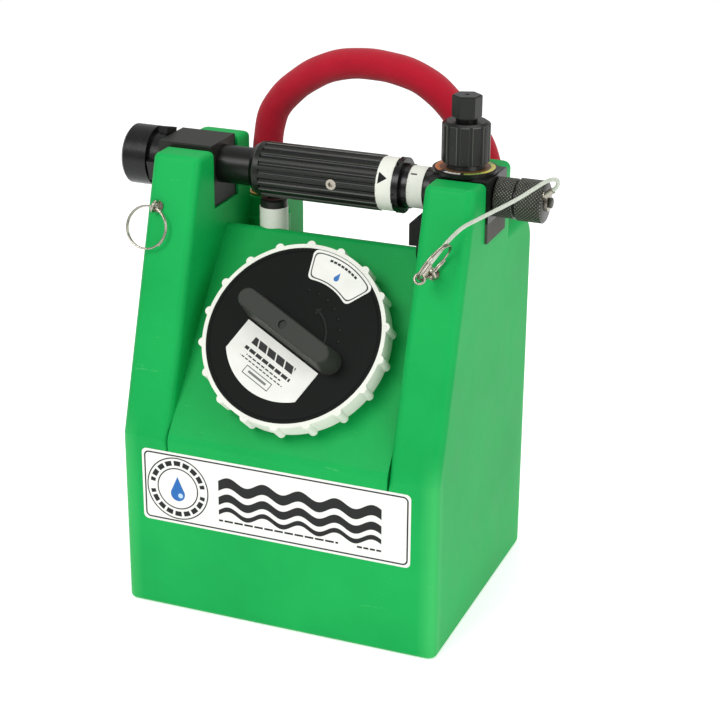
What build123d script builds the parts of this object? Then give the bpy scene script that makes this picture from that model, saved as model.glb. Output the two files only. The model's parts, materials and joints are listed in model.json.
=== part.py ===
import os
from math import atan2, cos, pi, radians, sin, tan

from build123d import *

# Portable rinse pack: a rotomoulded tank with a filler cap on its leaning front panel, a mixing
# valve that lies across its top as the carrying handle, and a rinse hose stowed behind the handle.
# Millimetres. +X runs along the handle towards the outlet, -Y is the front, +Z is up.
# The origin is the centre of the tank's flat base.

# ---- tank ----
tank_width = 254.0
tank_depth = 212.0
tank_wall = 4.5
shoulder_z = 141.0
ear_top_z = 343.0
ear_top_front_y = -41.0
handle_gap = 176.0
slot_centre_y = 4.5
slot_width = 42.6
slot_floor_z = 297.0
rear_ear_thickness = 21.0
rear_block_z = 289.0
rear_block_radius = 24.0
rear_well_width = 136.0
rear_deck_z = 240.0
panel_foot_y = -104.0
panel_foot_z = 146.0
ridge_y = 4.0
ridge_z = 281.0
ridge_back_y = 30.0
ridge_back_z = 269.0
deck_front_y = 42.0
upright_radius = 7.0
ear_radius = 5.0
base_radius = 3.0

# ---- filler neck and cap ----
cap_slope_position = 84.0
neck_bore = 110.0
neck_wall = 6.0
neck_height = 19.0
neck_flange = 130.0
neck_flange_thickness = 6.5
cap_diameter = 142.0
cap_lobe_count = 18
cap_lobe_radius = 3.4
cap_height = 26.0
cap_rim = 3.0
cap_web = 2.0
cap_disc_thickness = 2.2
cap_plug_depth = 3.0
gasket_thickness = 2.5
handle_bar_length = 88.0
handle_bar_width = 14.0
handle_bar_height = 23.5
handle_bar_flare = 2.5
handle_bar_angle = -27.0
sector_label_inner = 44.0
sector_label_angles = (39, 90)
lower_label_radius = 52.0
lower_label_width = 72.0
lower_label_offset = 11.0
front_label_width = 217.0
front_label_height = 59.0
front_label_z = 103.0
label_thickness = 0.3

# ---- handle tube and grip ----
tube_y = slot_centre_y
tube_z = 327.0
tube_diameter = 29.0
tube_bore = 21.0
tube_right_x = 92.0
grip_left_x = -61.0
grip_right_x = 41.5
grip_diameter = 41.5
grip_flute_count = 20
grip_flute_depth = 1.3
grip_flute_turn = 9.0
grip_flute_radius = 2.6
grip_travel = 90
grip_screw_x = 6.7
screw_diameter = 4.0
screw_head = 8.0
screw_head_height = 3.0
screw_slot_margin = 3
spool_length = 30.0
arrow_ring_width = 12.0
arrow_ring_diameter = 40.0
detent_width = 5.0
detent_slot_count = 12
detent_neck_diameter = 33.0
scale_ring_x = 64.0
scale_ring_width = 12.0
scale_ring_diameter = 31.4

# ---- inlet end ----
inlet_block_left_x = -134.0
inlet_block_width = 44.0
inlet_block_top_z = 345.5
coupling_diameter = 46.0
coupling_length = 31.0
coupling_gap = 1.5
coupling_bore = 34.9
coupling_bore_depth = 20.0
tailpiece_diameter = 30.0
tailpiece_bore = 18.0
tailpiece_flange = 33.8
tailpiece_flange_width = 3.0
inlet_gasket_thickness = 3.0
strainer_thickness = 0.8
lug_count = 3

# ---- outlet end, mixing valve ----
valve_left_x = 84.0
valve_right_x = 129.0
valve_top_z = 343.8
nozzle_left_x = 94.0
nozzle_right_x = 114.0
nozzle_diameter = 19.0
nipple_root_diameter = 18.0
saddle_top_z = 311.8
saddle_lobe_drop = 1.8
saddle_inner_x = 69.0
saddle_lobe_bottom_z = 288.5
dial_x = 104.0
dial_diameter = 45.0
dial_flange_diameter = 48.0
dial_flange_height = 2.5
dial_thickness = 0.5
knob_diameter = 35.3
knob_bottom_z = 351.0
knob_top_z = 381.0
knob_flute_count = 12
knob_neck_diameter = 15.6
hex_bottom_z = 384.0
hex_top_z = 400.0
hex_across_flats = 19.0
stem_diameter = 9.0
stem_length = 28.0
metering_plate_z = 340.5
metering_plate_diameter = 18.0
metering_plate_thickness = 2.0
knob_base_diameter = 28.6
collar_diameter = 29.4
collar_width = 15.0
nipple_diameter = 26.6
nipple_length = 16.0
nipple_bore = 14.0
outlet_cap_diameter = 31.0
outlet_cap_floor = 3.2
outlet_gasket_thickness = 1.8
nub_diameter = 7.8
nub_length = 5.0
knurl_count = 40

# ---- pickup and vent ----
pickup_x = 79.0
boss_diameter = 22.0
boss_length = 18.0
pickup_diameter = 12.0
pickup_bore = 8.0
foot_bottom_z = 7.0
foot_height = 22.0
foot_diameter = 22.0
check_ball_diameter = 9.0
vent_x = -53.0
vent_y = 15.0
vent_diameter = 22.0
vent_bore = 17.0
vent_top_z = 295.0
vent_valve_top_z = 301.5

# ---- stowed rinse hose ----
hose_diameter = 24.0
hose_y = 63.0
hose_left_x = -81.0
hose_right_x = 105.0
pocket_diameter = 28.6
pocket_depth = 62.0
ferrule_diameter = 27.0
ferrule_length = 26.0
ferrule_top_z = 291.0

# ---- strap rings and lanyard ----
ring_diameter = 32.0
ring_wire = 3.0
anchor_wire = 2.4
anchor_eye = 8.0
lanyard_diameter = 3.0

clasp_ring_angle = 165.0
right_ring_turn = 33.0
right_ring_rise = 52.0
left_ring_turn = 17.0
link_radius = 3.6
link_wire = 2.0
clasp_length = 13.0

# ---- fasteners ----
block_screw_diameter = 5.0
block_screw_head = 9.0
block_screw_head_height = 2.0
block_screw_z = 304.0
block_screw_reach = 34.0
handle_screw_diameter = 4.0
handle_screw_spacing = 52.0
handle_screw_reach = 6.0

# ---- clearances ----
running = 0.08
loose = 0.3
seat_gap = 0.15

half_width = tank_width / 2
half_depth = tank_depth / 2
half_gap = handle_gap / 2
half_well = rear_well_width / 2
slot_front_y = slot_centre_y - slot_width / 2
slot_back_y = slot_centre_y + slot_width / 2
rear_ear_back_y = slot_back_y + rear_ear_thickness
panel_lean = atan2(ridge_y - panel_foot_y, ridge_z - panel_foot_z)
panel_normal = (0, -cos(panel_lean), sin(panel_lean))
cap_centre_y = panel_foot_y + cap_slope_position * sin(panel_lean)
cap_centre_z = panel_foot_z + cap_slope_position * cos(panel_lean)
panel = Plane(origin=(0, cap_centre_y, cap_centre_z), x_dir=(1, 0, 0), z_dir=panel_normal)
flow_plane = Plane(origin=(0, tube_y, tube_z), x_dir=(1, 0, 0), z_dir=(0, -1, 0))
flow_axis = Axis((0, tube_y, tube_z), (1, 0, 0))

os.makedirs("parts", exist_ok=True)


def finish(builder, name):
    """Label a finished piece and write its STEP file."""
    builder.part.label = name
    export_step(builder.part, f"parts/{name}.step")


def outline(*points):
    """Fill the closed polygon through the points, in the sketch being made."""
    Polygon(*points, align=None)


def upright_face(plane, inset=0.0):
    """Side view of one upright: leaning front, saddle slot between two ears, rear shoulder."""
    with BuildSketch(plane) as sketch:
        outline(
            (-half_depth, 0),
            (half_depth, 0),
            (half_depth, rear_block_z),
            (rear_ear_back_y, rear_block_z),
            (rear_ear_back_y, ear_top_z),
            (slot_back_y, ear_top_z),
            (slot_back_y, slot_floor_z),
            (slot_front_y, slot_floor_z),
            (slot_front_y, ear_top_z),
            (ear_top_front_y, ear_top_z),
            (-half_depth, shoulder_z),
        )
        block_top = sketch.vertices().filter_by_position(Axis.Y, rear_block_z - 1, rear_block_z + 1)
        fillet(block_top.sort_by(Axis.X)[-1], rear_block_radius)
        if inset:
            offset(amount=-inset, mode=Mode.REPLACE)
    return sketch.sketch


def centre_face(plane, inset=0.0):
    """Side view between the uprights: leaning panel, ridge under the handle, rear deck."""
    with BuildSketch(plane) as sketch:
        outline(
            (-half_depth, 0),
            (half_depth, 0),
            (half_depth, rear_deck_z),
            (deck_front_y, rear_deck_z),
            (ridge_back_y, ridge_back_z),
            (ridge_y, ridge_z),
            (panel_foot_y, panel_foot_z),
            (-half_depth, shoulder_z),
        )
        ridge = sketch.vertices().filter_by_position(Axis.Y, ridge_back_z - 1, ridge_z + 1)
        fillet(ridge, 5)
        if inset:
            offset(amount=-inset, mode=Mode.REPLACE)
    return sketch.sketch


def shoulder_face(plane, inset=0.0):
    """Side view of one rear shoulder, the block that holds an end of the stowed hose."""
    with BuildSketch(plane) as sketch:
        outline(
            (rear_ear_back_y, tank_wall),
            (half_depth, tank_wall),
            (half_depth, rear_block_z),
            (rear_ear_back_y, rear_block_z),
        )
        block_top = sketch.vertices().filter_by_position(Axis.Y, rear_block_z - 1, rear_block_z + 1)
        fillet(block_top.sort_by(Axis.X)[-1], rear_block_radius)
        if inset:
            offset(amount=-inset, mode=Mode.REPLACE)
    return sketch.sketch


def upright_solid(side, inset=0.0):
    """One upright, or with an inset the hollow inside it, rounded along its outer edges."""
    with BuildPart() as upright:
        face = upright_face(Plane.YZ.offset(side * (half_gap + inset)), inset)
        extrude(face, amount=side * (half_width - half_gap - 2 * inset))
        if not inset:
            outer_face = upright.faces().sort_by(Axis.X)[-1 if side > 0 else 0]
            inner_face = upright.faces().sort_by(Axis.X)[0 if side > 0 else -1]
            outer_edges = outer_face.edges().filter_by(outside_slot)
            inner_edges = inner_face.edges().filter_by(leaning)
            fillet(outer_edges + inner_edges, upright_radius)
            top_edges = upright.faces().filter_by(Axis.Z).group_by(Axis.Z)[-1].edges()
            fillet(top_edges, ear_radius)
    return upright.part


def outside_slot(edge):
    """True for an edge of the side view that isn't in the saddle slot, the base or an ear's top."""
    middle = edge.center()
    in_slot = slot_front_y - 1 < middle.Y < slot_back_y + 1 and middle.Z > slot_floor_z - 1
    return not in_slot and 1 < middle.Z < ear_top_z - 1


def leaning(edge):
    """True for the front edge that leans back from the shoulder to the ear."""
    return edge.center().Z > shoulder_z + 30 and edge.center().Y < -half_depth / 2


def tank_body(inset=0.0):
    """The tank's form, drawn in by inset on every side: two uprights, centre and shoulders."""
    join = half_gap + inset + 2 if inset else half_gap
    with BuildPart() as body:
        for side in (-1, 1):
            add(upright_solid(side, inset))
            shoulder = shoulder_face(Plane.YZ.offset(side * (half_well + inset)), inset)
            extrude(shoulder, amount=side * (half_gap - half_well + inset))
        extrude(centre_face(Plane.YZ, inset), amount=join, both=True)
    return body.part


def turned(points):
    """Revolve the closed outline of (x, radius) points about the handle tube's axis."""
    with BuildSketch(flow_plane) as profile:
        outline(*points)
    revolve(profile.sketch, axis=flow_axis)


def tube_points(x0, x1, outer, inner):
    """Outline of a plain sleeve from x0 to x1, given its outer and inner diameters."""
    return [(x0, inner / 2), (x1, inner / 2), (x1, outer / 2), (x0, outer / 2)]


def cut_along_flow(x0, x1, diameter):
    """Bore the part being made along the handle tube's axis, from x0 to x1."""
    with BuildSketch(Plane.YZ.offset(x0)) as profile:
        with Locations((tube_y, tube_z)):
            Circle(diameter / 2)
    extrude(profile.sketch, amount=x1 - x0, mode=Mode.SUBTRACT)


def upright_axis(x, y):
    """Plane and axis for a piece turned about a vertical line through (x, y)."""
    return Plane(origin=(x, y, 0), x_dir=(1, 0, 0), z_dir=(0, -1, 0)), Axis((x, y, 0), (0, 0, 1))


def turned_upright(x, y, points):
    """Revolve the closed outline of (radius, z) points about a vertical line through (x, y)."""
    plane, axis = upright_axis(x, y)
    with BuildSketch(plane) as profile:
        outline(*points)
    revolve(profile.sketch, axis=axis)


screw_face = Plane(origin=(0, rear_ear_back_y, block_screw_z), x_dir=(1, 0, 0), z_dir=(0, -1, 0))
block_screw_xs = (-120.0, -98.0, 97.0, 120.0)


def cut_block_screw_holes(depth):
    """Drill the saddle screws' holes forward from the rear ears' rear face."""
    with BuildSketch(screw_face) as holes:
        with Locations(*[(x, 0) for x in block_screw_xs]):
            Circle(block_screw_diameter / 2 + seat_gap)
    extrude(holes.sketch, amount=depth, mode=Mode.SUBTRACT)


# ---- tank ----
tank_form = tank_body()
tank_hollow = tank_body(tank_wall)
neck_hole = neck_bore + 2 * neck_wall + 2 * seat_gap
boss_hole = boss_diameter + 2 * seat_gap
vent_hole = vent_diameter + 2 * seat_gap
pocket_floor_z = ferrule_top_z - pocket_depth
with BuildPart() as tank_shell:
    add(tank_form)
    fillet(tank_shell.faces().sort_by(Axis.Z)[0].edges(), base_radius)
    add(tank_hollow, mode=Mode.SUBTRACT)
    for x in (hose_left_x, hose_right_x):
        with BuildSketch(Plane.XY.offset(pocket_floor_z - tank_wall)):
            with Locations((x, hose_y)):
                Circle(pocket_diameter / 2 + tank_wall)
        extrude(amount=rear_block_z - rear_block_radius / 2 - pocket_floor_z)
        with BuildSketch(Plane.XY.offset(pocket_floor_z)):
            with Locations((x, hose_y)):
                Circle(pocket_diameter / 2)
        extrude(amount=pocket_depth + 10, mode=Mode.SUBTRACT)
    with BuildSketch(panel.offset(-3 * tank_wall)):
        Circle(neck_hole / 2)
    extrude(amount=6 * tank_wall, mode=Mode.SUBTRACT)
    with BuildSketch(Plane.XY.offset(ridge_z - 40)):
        with Locations((pickup_x, tube_y)):
            Circle(boss_hole / 2)
    extrude(amount=50, mode=Mode.SUBTRACT)
    with BuildSketch(Plane.XY.offset(ridge_z - 40)):
        with Locations((vent_x, vent_y)):
            Circle(vent_hole / 2)
    extrude(amount=50, mode=Mode.SUBTRACT)
    cut_block_screw_holes(rear_ear_thickness)
finish(tank_shell, "tank_shell")

with BuildPart() as block_screws:
    with BuildSketch(screw_face):
        with Locations(*[(x, 0) for x in block_screw_xs]):
            Circle(block_screw_diameter / 2)
    extrude(amount=block_screw_reach)
    with BuildSketch(screw_face):
        with Locations(*[(x, 0) for x in block_screw_xs]):
            Circle(block_screw_head / 2)
    extrude(amount=-block_screw_head_height)
finish(block_screws, "block_screws")

with BuildPart() as front_label:
    with BuildSketch(Plane(origin=(-1.5, -half_depth, front_label_z), x_dir=(1, 0, 0), z_dir=(0, -1, 0))):
        RectangleRounded(front_label_width, front_label_height, 4)
    extrude(amount=label_thickness)
finish(front_label, "front_label")

# ---- filler neck and cap ----
with BuildPart() as fill_neck:
    with BuildSketch(panel.offset(-tank_wall)):
        Circle(neck_bore / 2 + neck_wall)
        Circle(neck_bore / 2, mode=Mode.SUBTRACT)
    extrude(amount=tank_wall + neck_height)
    with BuildSketch(panel):
        Circle(neck_flange / 2)
        Circle(neck_bore / 2, mode=Mode.SUBTRACT)
    extrude(amount=neck_flange_thickness)
finish(fill_neck, "fill_neck")

gasket_top = neck_height + gasket_thickness
with BuildPart() as cap_gasket:
    with BuildSketch(panel.offset(neck_height)):
        Circle(neck_bore / 2 + neck_wall - 0.5)
        Circle(neck_bore / 2 + 0.5, mode=Mode.SUBTRACT)
    extrude(amount=gasket_thickness - seat_gap)
finish(cap_gasket, "cap_gasket")

recess_floor = gasket_top + cap_web
disc_radius = cap_diameter / 2 - cap_rim - loose
with BuildPart() as cap_ring:
    ring_bottom = neck_flange_thickness + 1
    with BuildSketch(panel.offset(ring_bottom)):
        Circle(cap_diameter / 2)
        with PolarLocations(cap_diameter / 2 - 0.6, cap_lobe_count, start_angle=13):
            Circle(cap_lobe_radius)
        Circle(neck_bore / 2 + neck_wall + running, mode=Mode.SUBTRACT)
    extrude(amount=cap_height - ring_bottom)
    with BuildSketch(panel.offset(gasket_top)):
        Circle(cap_diameter / 2 - 2)
        Circle(neck_bore / 2 - 5, mode=Mode.SUBTRACT)
    extrude(amount=cap_web)
    with BuildSketch(panel.offset(recess_floor)):
        Circle(disc_radius + loose)
    extrude(amount=cap_height, mode=Mode.SUBTRACT)
finish(cap_ring, "cap_ring")

disc_top = recess_floor + cap_disc_thickness
bar_turn = radians(handle_bar_angle)
bar_direction = (cos(bar_turn), sin(bar_turn) * sin(panel_lean), sin(bar_turn) * cos(panel_lean))
bar_panel = Plane(origin=panel.origin, x_dir=bar_direction, z_dir=panel_normal)
bar_plane = bar_panel.offset(disc_top)


def cut_handle_screw_holes(low, high):
    """Drill the two holes of the handle's screws between two heights above the panel."""
    with BuildSketch(bar_panel.offset(low)) as holes:
        with GridLocations(handle_screw_spacing, 1, 2, 1):
            Circle(handle_screw_diameter / 2 + seat_gap)
    extrude(holes.sketch, amount=high - low, mode=Mode.SUBTRACT)


with BuildPart() as cap_disc:
    with BuildSketch(panel.offset(recess_floor)):
        Circle(disc_radius)
    extrude(amount=cap_disc_thickness)
    with BuildSketch(panel.offset(recess_floor)):
        Circle(neck_bore / 2 - 5 - loose)
    extrude(amount=-cap_plug_depth)
    cut_handle_screw_holes(recess_floor - cap_plug_depth, disc_top)
finish(cap_disc, "cap_disc")

with BuildPart() as cap_handle:
    with BuildSketch(bar_plane):
        SlotOverall(handle_bar_length + 2 * handle_bar_flare, handle_bar_width + 2 * handle_bar_flare)
    with BuildSketch(bar_plane.offset(handle_bar_height)):
        SlotOverall(handle_bar_length, handle_bar_width)
    loft()
    bar_top = cap_handle.faces().sort_by(Axis(panel.origin, panel_normal))[-1]
    chamfer(bar_top.edges(), 1)
    with BuildSketch(bar_plane.offset(handle_bar_height)):
        Circle(3.5)
    extrude(amount=-2, mode=Mode.SUBTRACT)
    cut_handle_screw_holes(disc_top, disc_top + handle_screw_reach + seat_gap)
finish(cap_handle, "cap_handle")

plug_bottom = recess_floor - cap_plug_depth
with BuildPart() as cap_handle_screws:
    with BuildSketch(bar_panel.offset(plug_bottom - 2.4)):
        with GridLocations(handle_screw_spacing, 1, 2, 1):
            Circle(handle_screw_diameter)
    extrude(amount=2.4)
    with BuildSketch(bar_panel.offset(plug_bottom)):
        with GridLocations(handle_screw_spacing, 1, 2, 1):
            Circle(handle_screw_diameter / 2)
    extrude(amount=disc_top + handle_screw_reach - plug_bottom)
finish(cap_handle_screws, "cap_handle_screws")

with BuildPart() as cap_labels:
    with BuildSketch(panel.offset(disc_top)) as sector:
        Circle(disc_radius - seat_gap)
        Circle(sector_label_inner, mode=Mode.SUBTRACT)
        far = 2 * cap_diameter
        wedge = [(far * cos(radians(a)), far * sin(radians(a))) for a in sector_label_angles]
        Polygon((0, 0), *wedge, align=None, mode=Mode.INTERSECT)
        fillet(sector.vertices(), 4)
    extrude(amount=label_thickness)
    with BuildSketch(bar_plane):
        Circle(lower_label_radius)
        with Locations((0, -lower_label_offset - lower_label_radius)):
            Rectangle(lower_label_width, 2 * lower_label_radius, mode=Mode.INTERSECT)
    extrude(amount=label_thickness)
finish(cap_labels, "cap_labels")

# ---- inlet end ----
block_face = Plane.YZ.offset(inlet_block_left_x)
with BuildPart() as inlet_block:
    with BuildSketch(block_face):
        with Locations((tube_y, (slot_floor_z + inlet_block_top_z) / 2)):
            Rectangle(slot_width - 2 * loose, inlet_block_top_z - slot_floor_z)
    extrude(amount=inlet_block_width)
    chamfer(inlet_block.edges().filter_by(Axis.X).group_by(Axis.Z)[-1], 1)
    with BuildSketch(block_face):
        with Locations((tube_y, tube_z)):
            Circle(tube_diameter / 2 + seat_gap)
    extrude(amount=inlet_block_width, mode=Mode.SUBTRACT)
    cut_block_screw_holes(block_screw_reach + seat_gap)
finish(inlet_block, "inlet_block")

coupling_right_x = inlet_block_left_x - coupling_gap
coupling_left_x = coupling_right_x - coupling_length
tailpiece_left_x = coupling_left_x + coupling_bore_depth
flange_left_x = tailpiece_left_x - tailpiece_flange_width - loose
strainer_left_x = flange_left_x - inlet_gasket_thickness - strainer_thickness
with BuildPart() as inlet_tailpiece:
    turned(tube_points(flange_left_x, tailpiece_left_x - loose, tailpiece_flange, tailpiece_bore))
    turned(tube_points(tailpiece_left_x - loose, inlet_block_left_x, tailpiece_diameter, tailpiece_bore))
    turned(
        tube_points(
            inlet_block_left_x, inlet_block_left_x + 14, tube_bore - 2 * seat_gap, tailpiece_bore - 2
        )
    )
finish(inlet_tailpiece, "inlet_tailpiece")

with BuildPart() as inlet_coupling:
    turned(
        [
            (coupling_left_x, coupling_bore / 2),
            (strainer_left_x - loose, coupling_bore / 2),
            (strainer_left_x - loose, coupling_bore / 2 + 0.8),
            (tailpiece_left_x, coupling_bore / 2 + 0.8),
            (tailpiece_left_x, tailpiece_diameter / 2 + running),
            (coupling_right_x, tailpiece_diameter / 2 + running),
            (coupling_right_x, coupling_diameter / 2 - 3.5),
            (coupling_right_x - 8, coupling_diameter / 2 - 3.5),
            (coupling_right_x - 8, coupling_diameter / 2 - 4.5),
            (coupling_right_x - 10, coupling_diameter / 2 - 4.5),
            (coupling_right_x - 10, coupling_diameter / 2),
            (coupling_left_x + 2, coupling_diameter / 2),
            (coupling_left_x, coupling_diameter / 2 - 2),
        ]
    )
    with BuildSketch(Plane.YZ.offset(coupling_right_x - 8)):
        with Locations((tube_y, tube_z)):
            with PolarLocations(coupling_diameter / 2 - 3.5, lug_count, start_angle=75):
                Rectangle(7, 16)
    extrude(amount=7.5)
finish(inlet_coupling, "inlet_coupling")

with BuildPart() as inlet_gasket:
    turned(
        tube_points(
            flange_left_x - inlet_gasket_thickness,
            flange_left_x,
            coupling_bore - 2 * loose,
            tailpiece_bore + 2,
        )
    )
finish(inlet_gasket, "inlet_gasket")

with BuildPart() as inlet_strainer:
    turned(tube_points(strainer_left_x, strainer_left_x + strainer_thickness, coupling_bore - 2, 4))
finish(inlet_strainer, "inlet_strainer")

# ---- handle tube and grip ----
with BuildPart() as handle_tube:
    turned(tube_points(inlet_block_left_x, tube_right_x, tube_diameter, tube_bore))
    for angle in range(-screw_slot_margin, grip_travel + screw_slot_margin + 1, 3):
        slot_normal = (0, -cos(radians(angle)), sin(radians(angle)))
        slot_centre = (grip_screw_x, tube_y, tube_z)
        with BuildSketch(Plane(origin=slot_centre, x_dir=(1, 0, 0), z_dir=slot_normal)):
            Circle(screw_diameter / 2 + loose)
        extrude(amount=tube_diameter, mode=Mode.SUBTRACT)
finish(handle_tube, "handle_tube")

screw_plane = Plane(origin=(grip_screw_x, tube_y, tube_z), x_dir=(1, 0, 0), z_dir=(0, -1, 0))
with BuildPart() as valve_spool:
    turned(
        [
            (grip_screw_x - spool_length / 2, 0),
            (grip_screw_x + spool_length / 2, 0),
            (grip_screw_x + spool_length / 2, tube_bore / 2 - running),
            (grip_screw_x - spool_length / 2, tube_bore / 2 - running),
        ]
    )
    with BuildSketch(Plane.XY.offset(tube_z - tube_bore)):
        with Locations((grip_screw_x - spool_length / 2 + 4, tube_y)):
            Circle(2.5)
    extrude(amount=2 * tube_bore, mode=Mode.SUBTRACT)
    with BuildSketch(screw_plane):
        Circle(screw_diameter / 2)
    extrude(amount=tube_bore, mode=Mode.SUBTRACT)
    with BuildSketch(Plane.YZ.offset(grip_screw_x - spool_length)):
        with Locations((tube_y, tube_z - 5)):
            Circle(3.5)
    extrude(amount=2 * spool_length, mode=Mode.SUBTRACT)
finish(valve_spool, "valve_spool")

with BuildPart() as grip_sleeve:
    turned(
        [
            (grip_left_x, tube_diameter / 2 + running),
            (grip_right_x, tube_diameter / 2 + running),
            (grip_right_x, grip_diameter / 2),
            (grip_left_x + 4, grip_diameter / 2),
            (grip_left_x, grip_diameter / 2 - 2.5),
        ]
    )
    flute_reach = grip_diameter / 2 + grip_flute_radius - grip_flute_depth
    with BuildSketch(Plane.YZ.offset(grip_left_x + 8)):
        with Locations((tube_y, tube_z)):
            with PolarLocations(flute_reach, grip_flute_count, start_angle=grip_flute_turn):
                Circle(grip_flute_radius)
    extrude(amount=grip_right_x - grip_left_x, mode=Mode.SUBTRACT)
    with BuildSketch(screw_plane):
        Circle(screw_diameter / 2 + seat_gap)
    extrude(amount=grip_diameter, mode=Mode.SUBTRACT)
    with BuildSketch(screw_plane.offset(grip_diameter / 2 - screw_head_height)):
        Circle(screw_head / 2 + seat_gap)
    extrude(amount=screw_head_height, mode=Mode.SUBTRACT)
finish(grip_sleeve, "grip_sleeve")

with BuildPart() as grip_screw:
    with BuildSketch(screw_plane.offset(tube_bore / 2 - 4)):
        Circle(screw_diameter / 2)
    extrude(amount=grip_diameter / 2 - screw_head_height - tube_bore / 2 + 4)
    with BuildSketch(screw_plane.offset(grip_diameter / 2 - screw_head_height)):
        Circle(screw_head / 2)
    extrude(amount=screw_head_height - 0.6)
    with BuildSketch(screw_plane.offset(grip_diameter / 2 - 0.6)):
        RegularPolygon(2.3, 6)
    extrude(amount=-2, mode=Mode.SUBTRACT)
finish(grip_screw, "grip_screw")

with BuildPart() as arrow_ring:
    turned(
        tube_points(
            grip_right_x,
            grip_right_x + arrow_ring_width,
            arrow_ring_diameter,
            tube_diameter + 2 * running,
        )
    )
finish(arrow_ring, "arrow_ring")

detent_x = grip_right_x + arrow_ring_width + loose
with BuildPart() as detent_flange:
    turned(tube_points(detent_x, detent_x + detent_width, grip_diameter, tube_diameter + 2 * seat_gap))
    turned(
        tube_points(
            detent_x + detent_width, scale_ring_x, detent_neck_diameter, tube_diameter + 2 * seat_gap
        )
    )
    with BuildSketch(Plane.YZ.offset(detent_x)):
        with Locations((tube_y, tube_z)):
            with PolarLocations(grip_diameter / 2, detent_slot_count):
                Rectangle(3, 4)
    extrude(amount=detent_width / 2, mode=Mode.SUBTRACT)
finish(detent_flange, "detent_flange")

with BuildPart() as scale_ring:
    turned(
        tube_points(
            scale_ring_x, scale_ring_x + scale_ring_width, scale_ring_diameter, tube_diameter + 2 * seat_gap
        )
    )
finish(scale_ring, "scale_ring")

# ---- mixing valve ----
valve_centre_x = (valve_left_x + valve_right_x) / 2
valve_width = valve_right_x - valve_left_x
slot_fit_depth = slot_width - 2 * loose
lobe_top_z = saddle_top_z - saddle_lobe_drop


def inner_lobe_edge(edge):
    """True for the lobe's upper edge that faces the middle of the tank."""
    return edge.center().X < saddle_inner_x + 1 and edge.center().Z > lobe_top_z - 1


with BuildPart() as saddle_block:
    with BuildSketch(Plane.XY.offset(slot_floor_z)):
        with Locations(((half_gap + valve_right_x) / 2, tube_y)):
            Rectangle(valve_right_x - half_gap, slot_fit_depth)
    extrude(amount=saddle_top_z - slot_floor_z)
    with BuildSketch(Plane.XY.offset(saddle_lobe_bottom_z)):
        with Locations(((saddle_inner_x + half_gap - loose) / 2, tube_y)):
            Rectangle(half_gap - loose - saddle_inner_x, slot_fit_depth)
    extrude(amount=lobe_top_z - saddle_lobe_bottom_z)
    chamfer(saddle_block.edges().filter_by(Axis.Y).filter_by(inner_lobe_edge), 5)
    with BuildSketch(Plane.XY.offset(slot_floor_z + loose)):
        with Locations((half_gap, tube_y)):
            Rectangle(8, slot_fit_depth)
    extrude(amount=lobe_top_z - slot_floor_z - loose)
    with BuildSketch(Plane.XY.offset(ridge_z - boss_length)):
        with Locations((pickup_x, tube_y)):
            Circle(boss_diameter / 2)
    extrude(amount=saddle_lobe_bottom_z + 1 - ridge_z + boss_length)
    with BuildSketch(Plane.XY.offset(ridge_z - boss_length)):
        with Locations((pickup_x, tube_y)):
            Circle(pickup_diameter / 2 + seat_gap)
    extrude(amount=boss_length, mode=Mode.SUBTRACT)
    with BuildSketch(Plane.XY.offset(ridge_z - boss_length)):
        with Locations((pickup_x, tube_y)):
            Circle(pickup_bore / 2)
    extrude(amount=60, mode=Mode.SUBTRACT)
    cut_block_screw_holes(block_screw_reach + seat_gap)
finish(saddle_block, "saddle_block")

with BuildPart() as valve_body:
    with BuildSketch(Plane.XY.offset(saddle_top_z)):
        with Locations((valve_centre_x, tube_y)):
            Rectangle(valve_width, slot_fit_depth)
    extrude(amount=valve_top_z - saddle_top_z)
    chamfer(valve_body.edges().filter_by(Axis.X).group_by(Axis.Z)[-1], 1.2)
    with BuildSketch(Plane.XY.offset(valve_top_z)):
        with Locations((dial_x, tube_y)):
            Circle(dial_flange_diameter / 2)
    extrude(amount=dial_flange_height)
    cut_along_flow(valve_left_x, tube_right_x, tube_diameter + 2 * seat_gap)
    cut_along_flow(tube_right_x, nozzle_left_x, tube_bore)
    cut_along_flow(nozzle_left_x, nozzle_right_x, nozzle_diameter + 2 * seat_gap)
    cut_along_flow(nozzle_right_x, valve_right_x, nipple_root_diameter + 2 * seat_gap)
    with BuildSketch(Plane.XY.offset(metering_plate_z - loose)):
        with Locations((dial_x, tube_y)):
            Circle(metering_plate_diameter / 2 + loose)
    extrude(amount=dial_flange_diameter, mode=Mode.SUBTRACT)
finish(valve_body, "valve_body")


def knurl(plane, radius, width):
    """Cut crossed rows of small grooves round a cylinder about the handle tube's axis."""
    for row in range(3):
        with BuildSketch(plane.offset(width * (row + 0.5) / 3 - 0.5)) as row_profile:
            with Locations((tube_y, tube_z)):
                with PolarLocations(radius, knurl_count, start_angle=row * 180 / knurl_count):
                    Rectangle(1, 0.9)
        extrude(row_profile.sketch, amount=1, mode=Mode.SUBTRACT)


with BuildPart() as venturi_nozzle:
    turned(
        [
            (nozzle_left_x + seat_gap, nozzle_diameter / 2),
            (nozzle_right_x - seat_gap, nozzle_diameter / 2),
            (nozzle_right_x - seat_gap, 6),
            ((nozzle_left_x + nozzle_right_x) / 2 + 2, 3),
            ((nozzle_left_x + nozzle_right_x) / 2 - 2, 3),
            (nozzle_left_x + seat_gap, 8),
        ]
    )
finish(venturi_nozzle, "venturi_nozzle")

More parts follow.
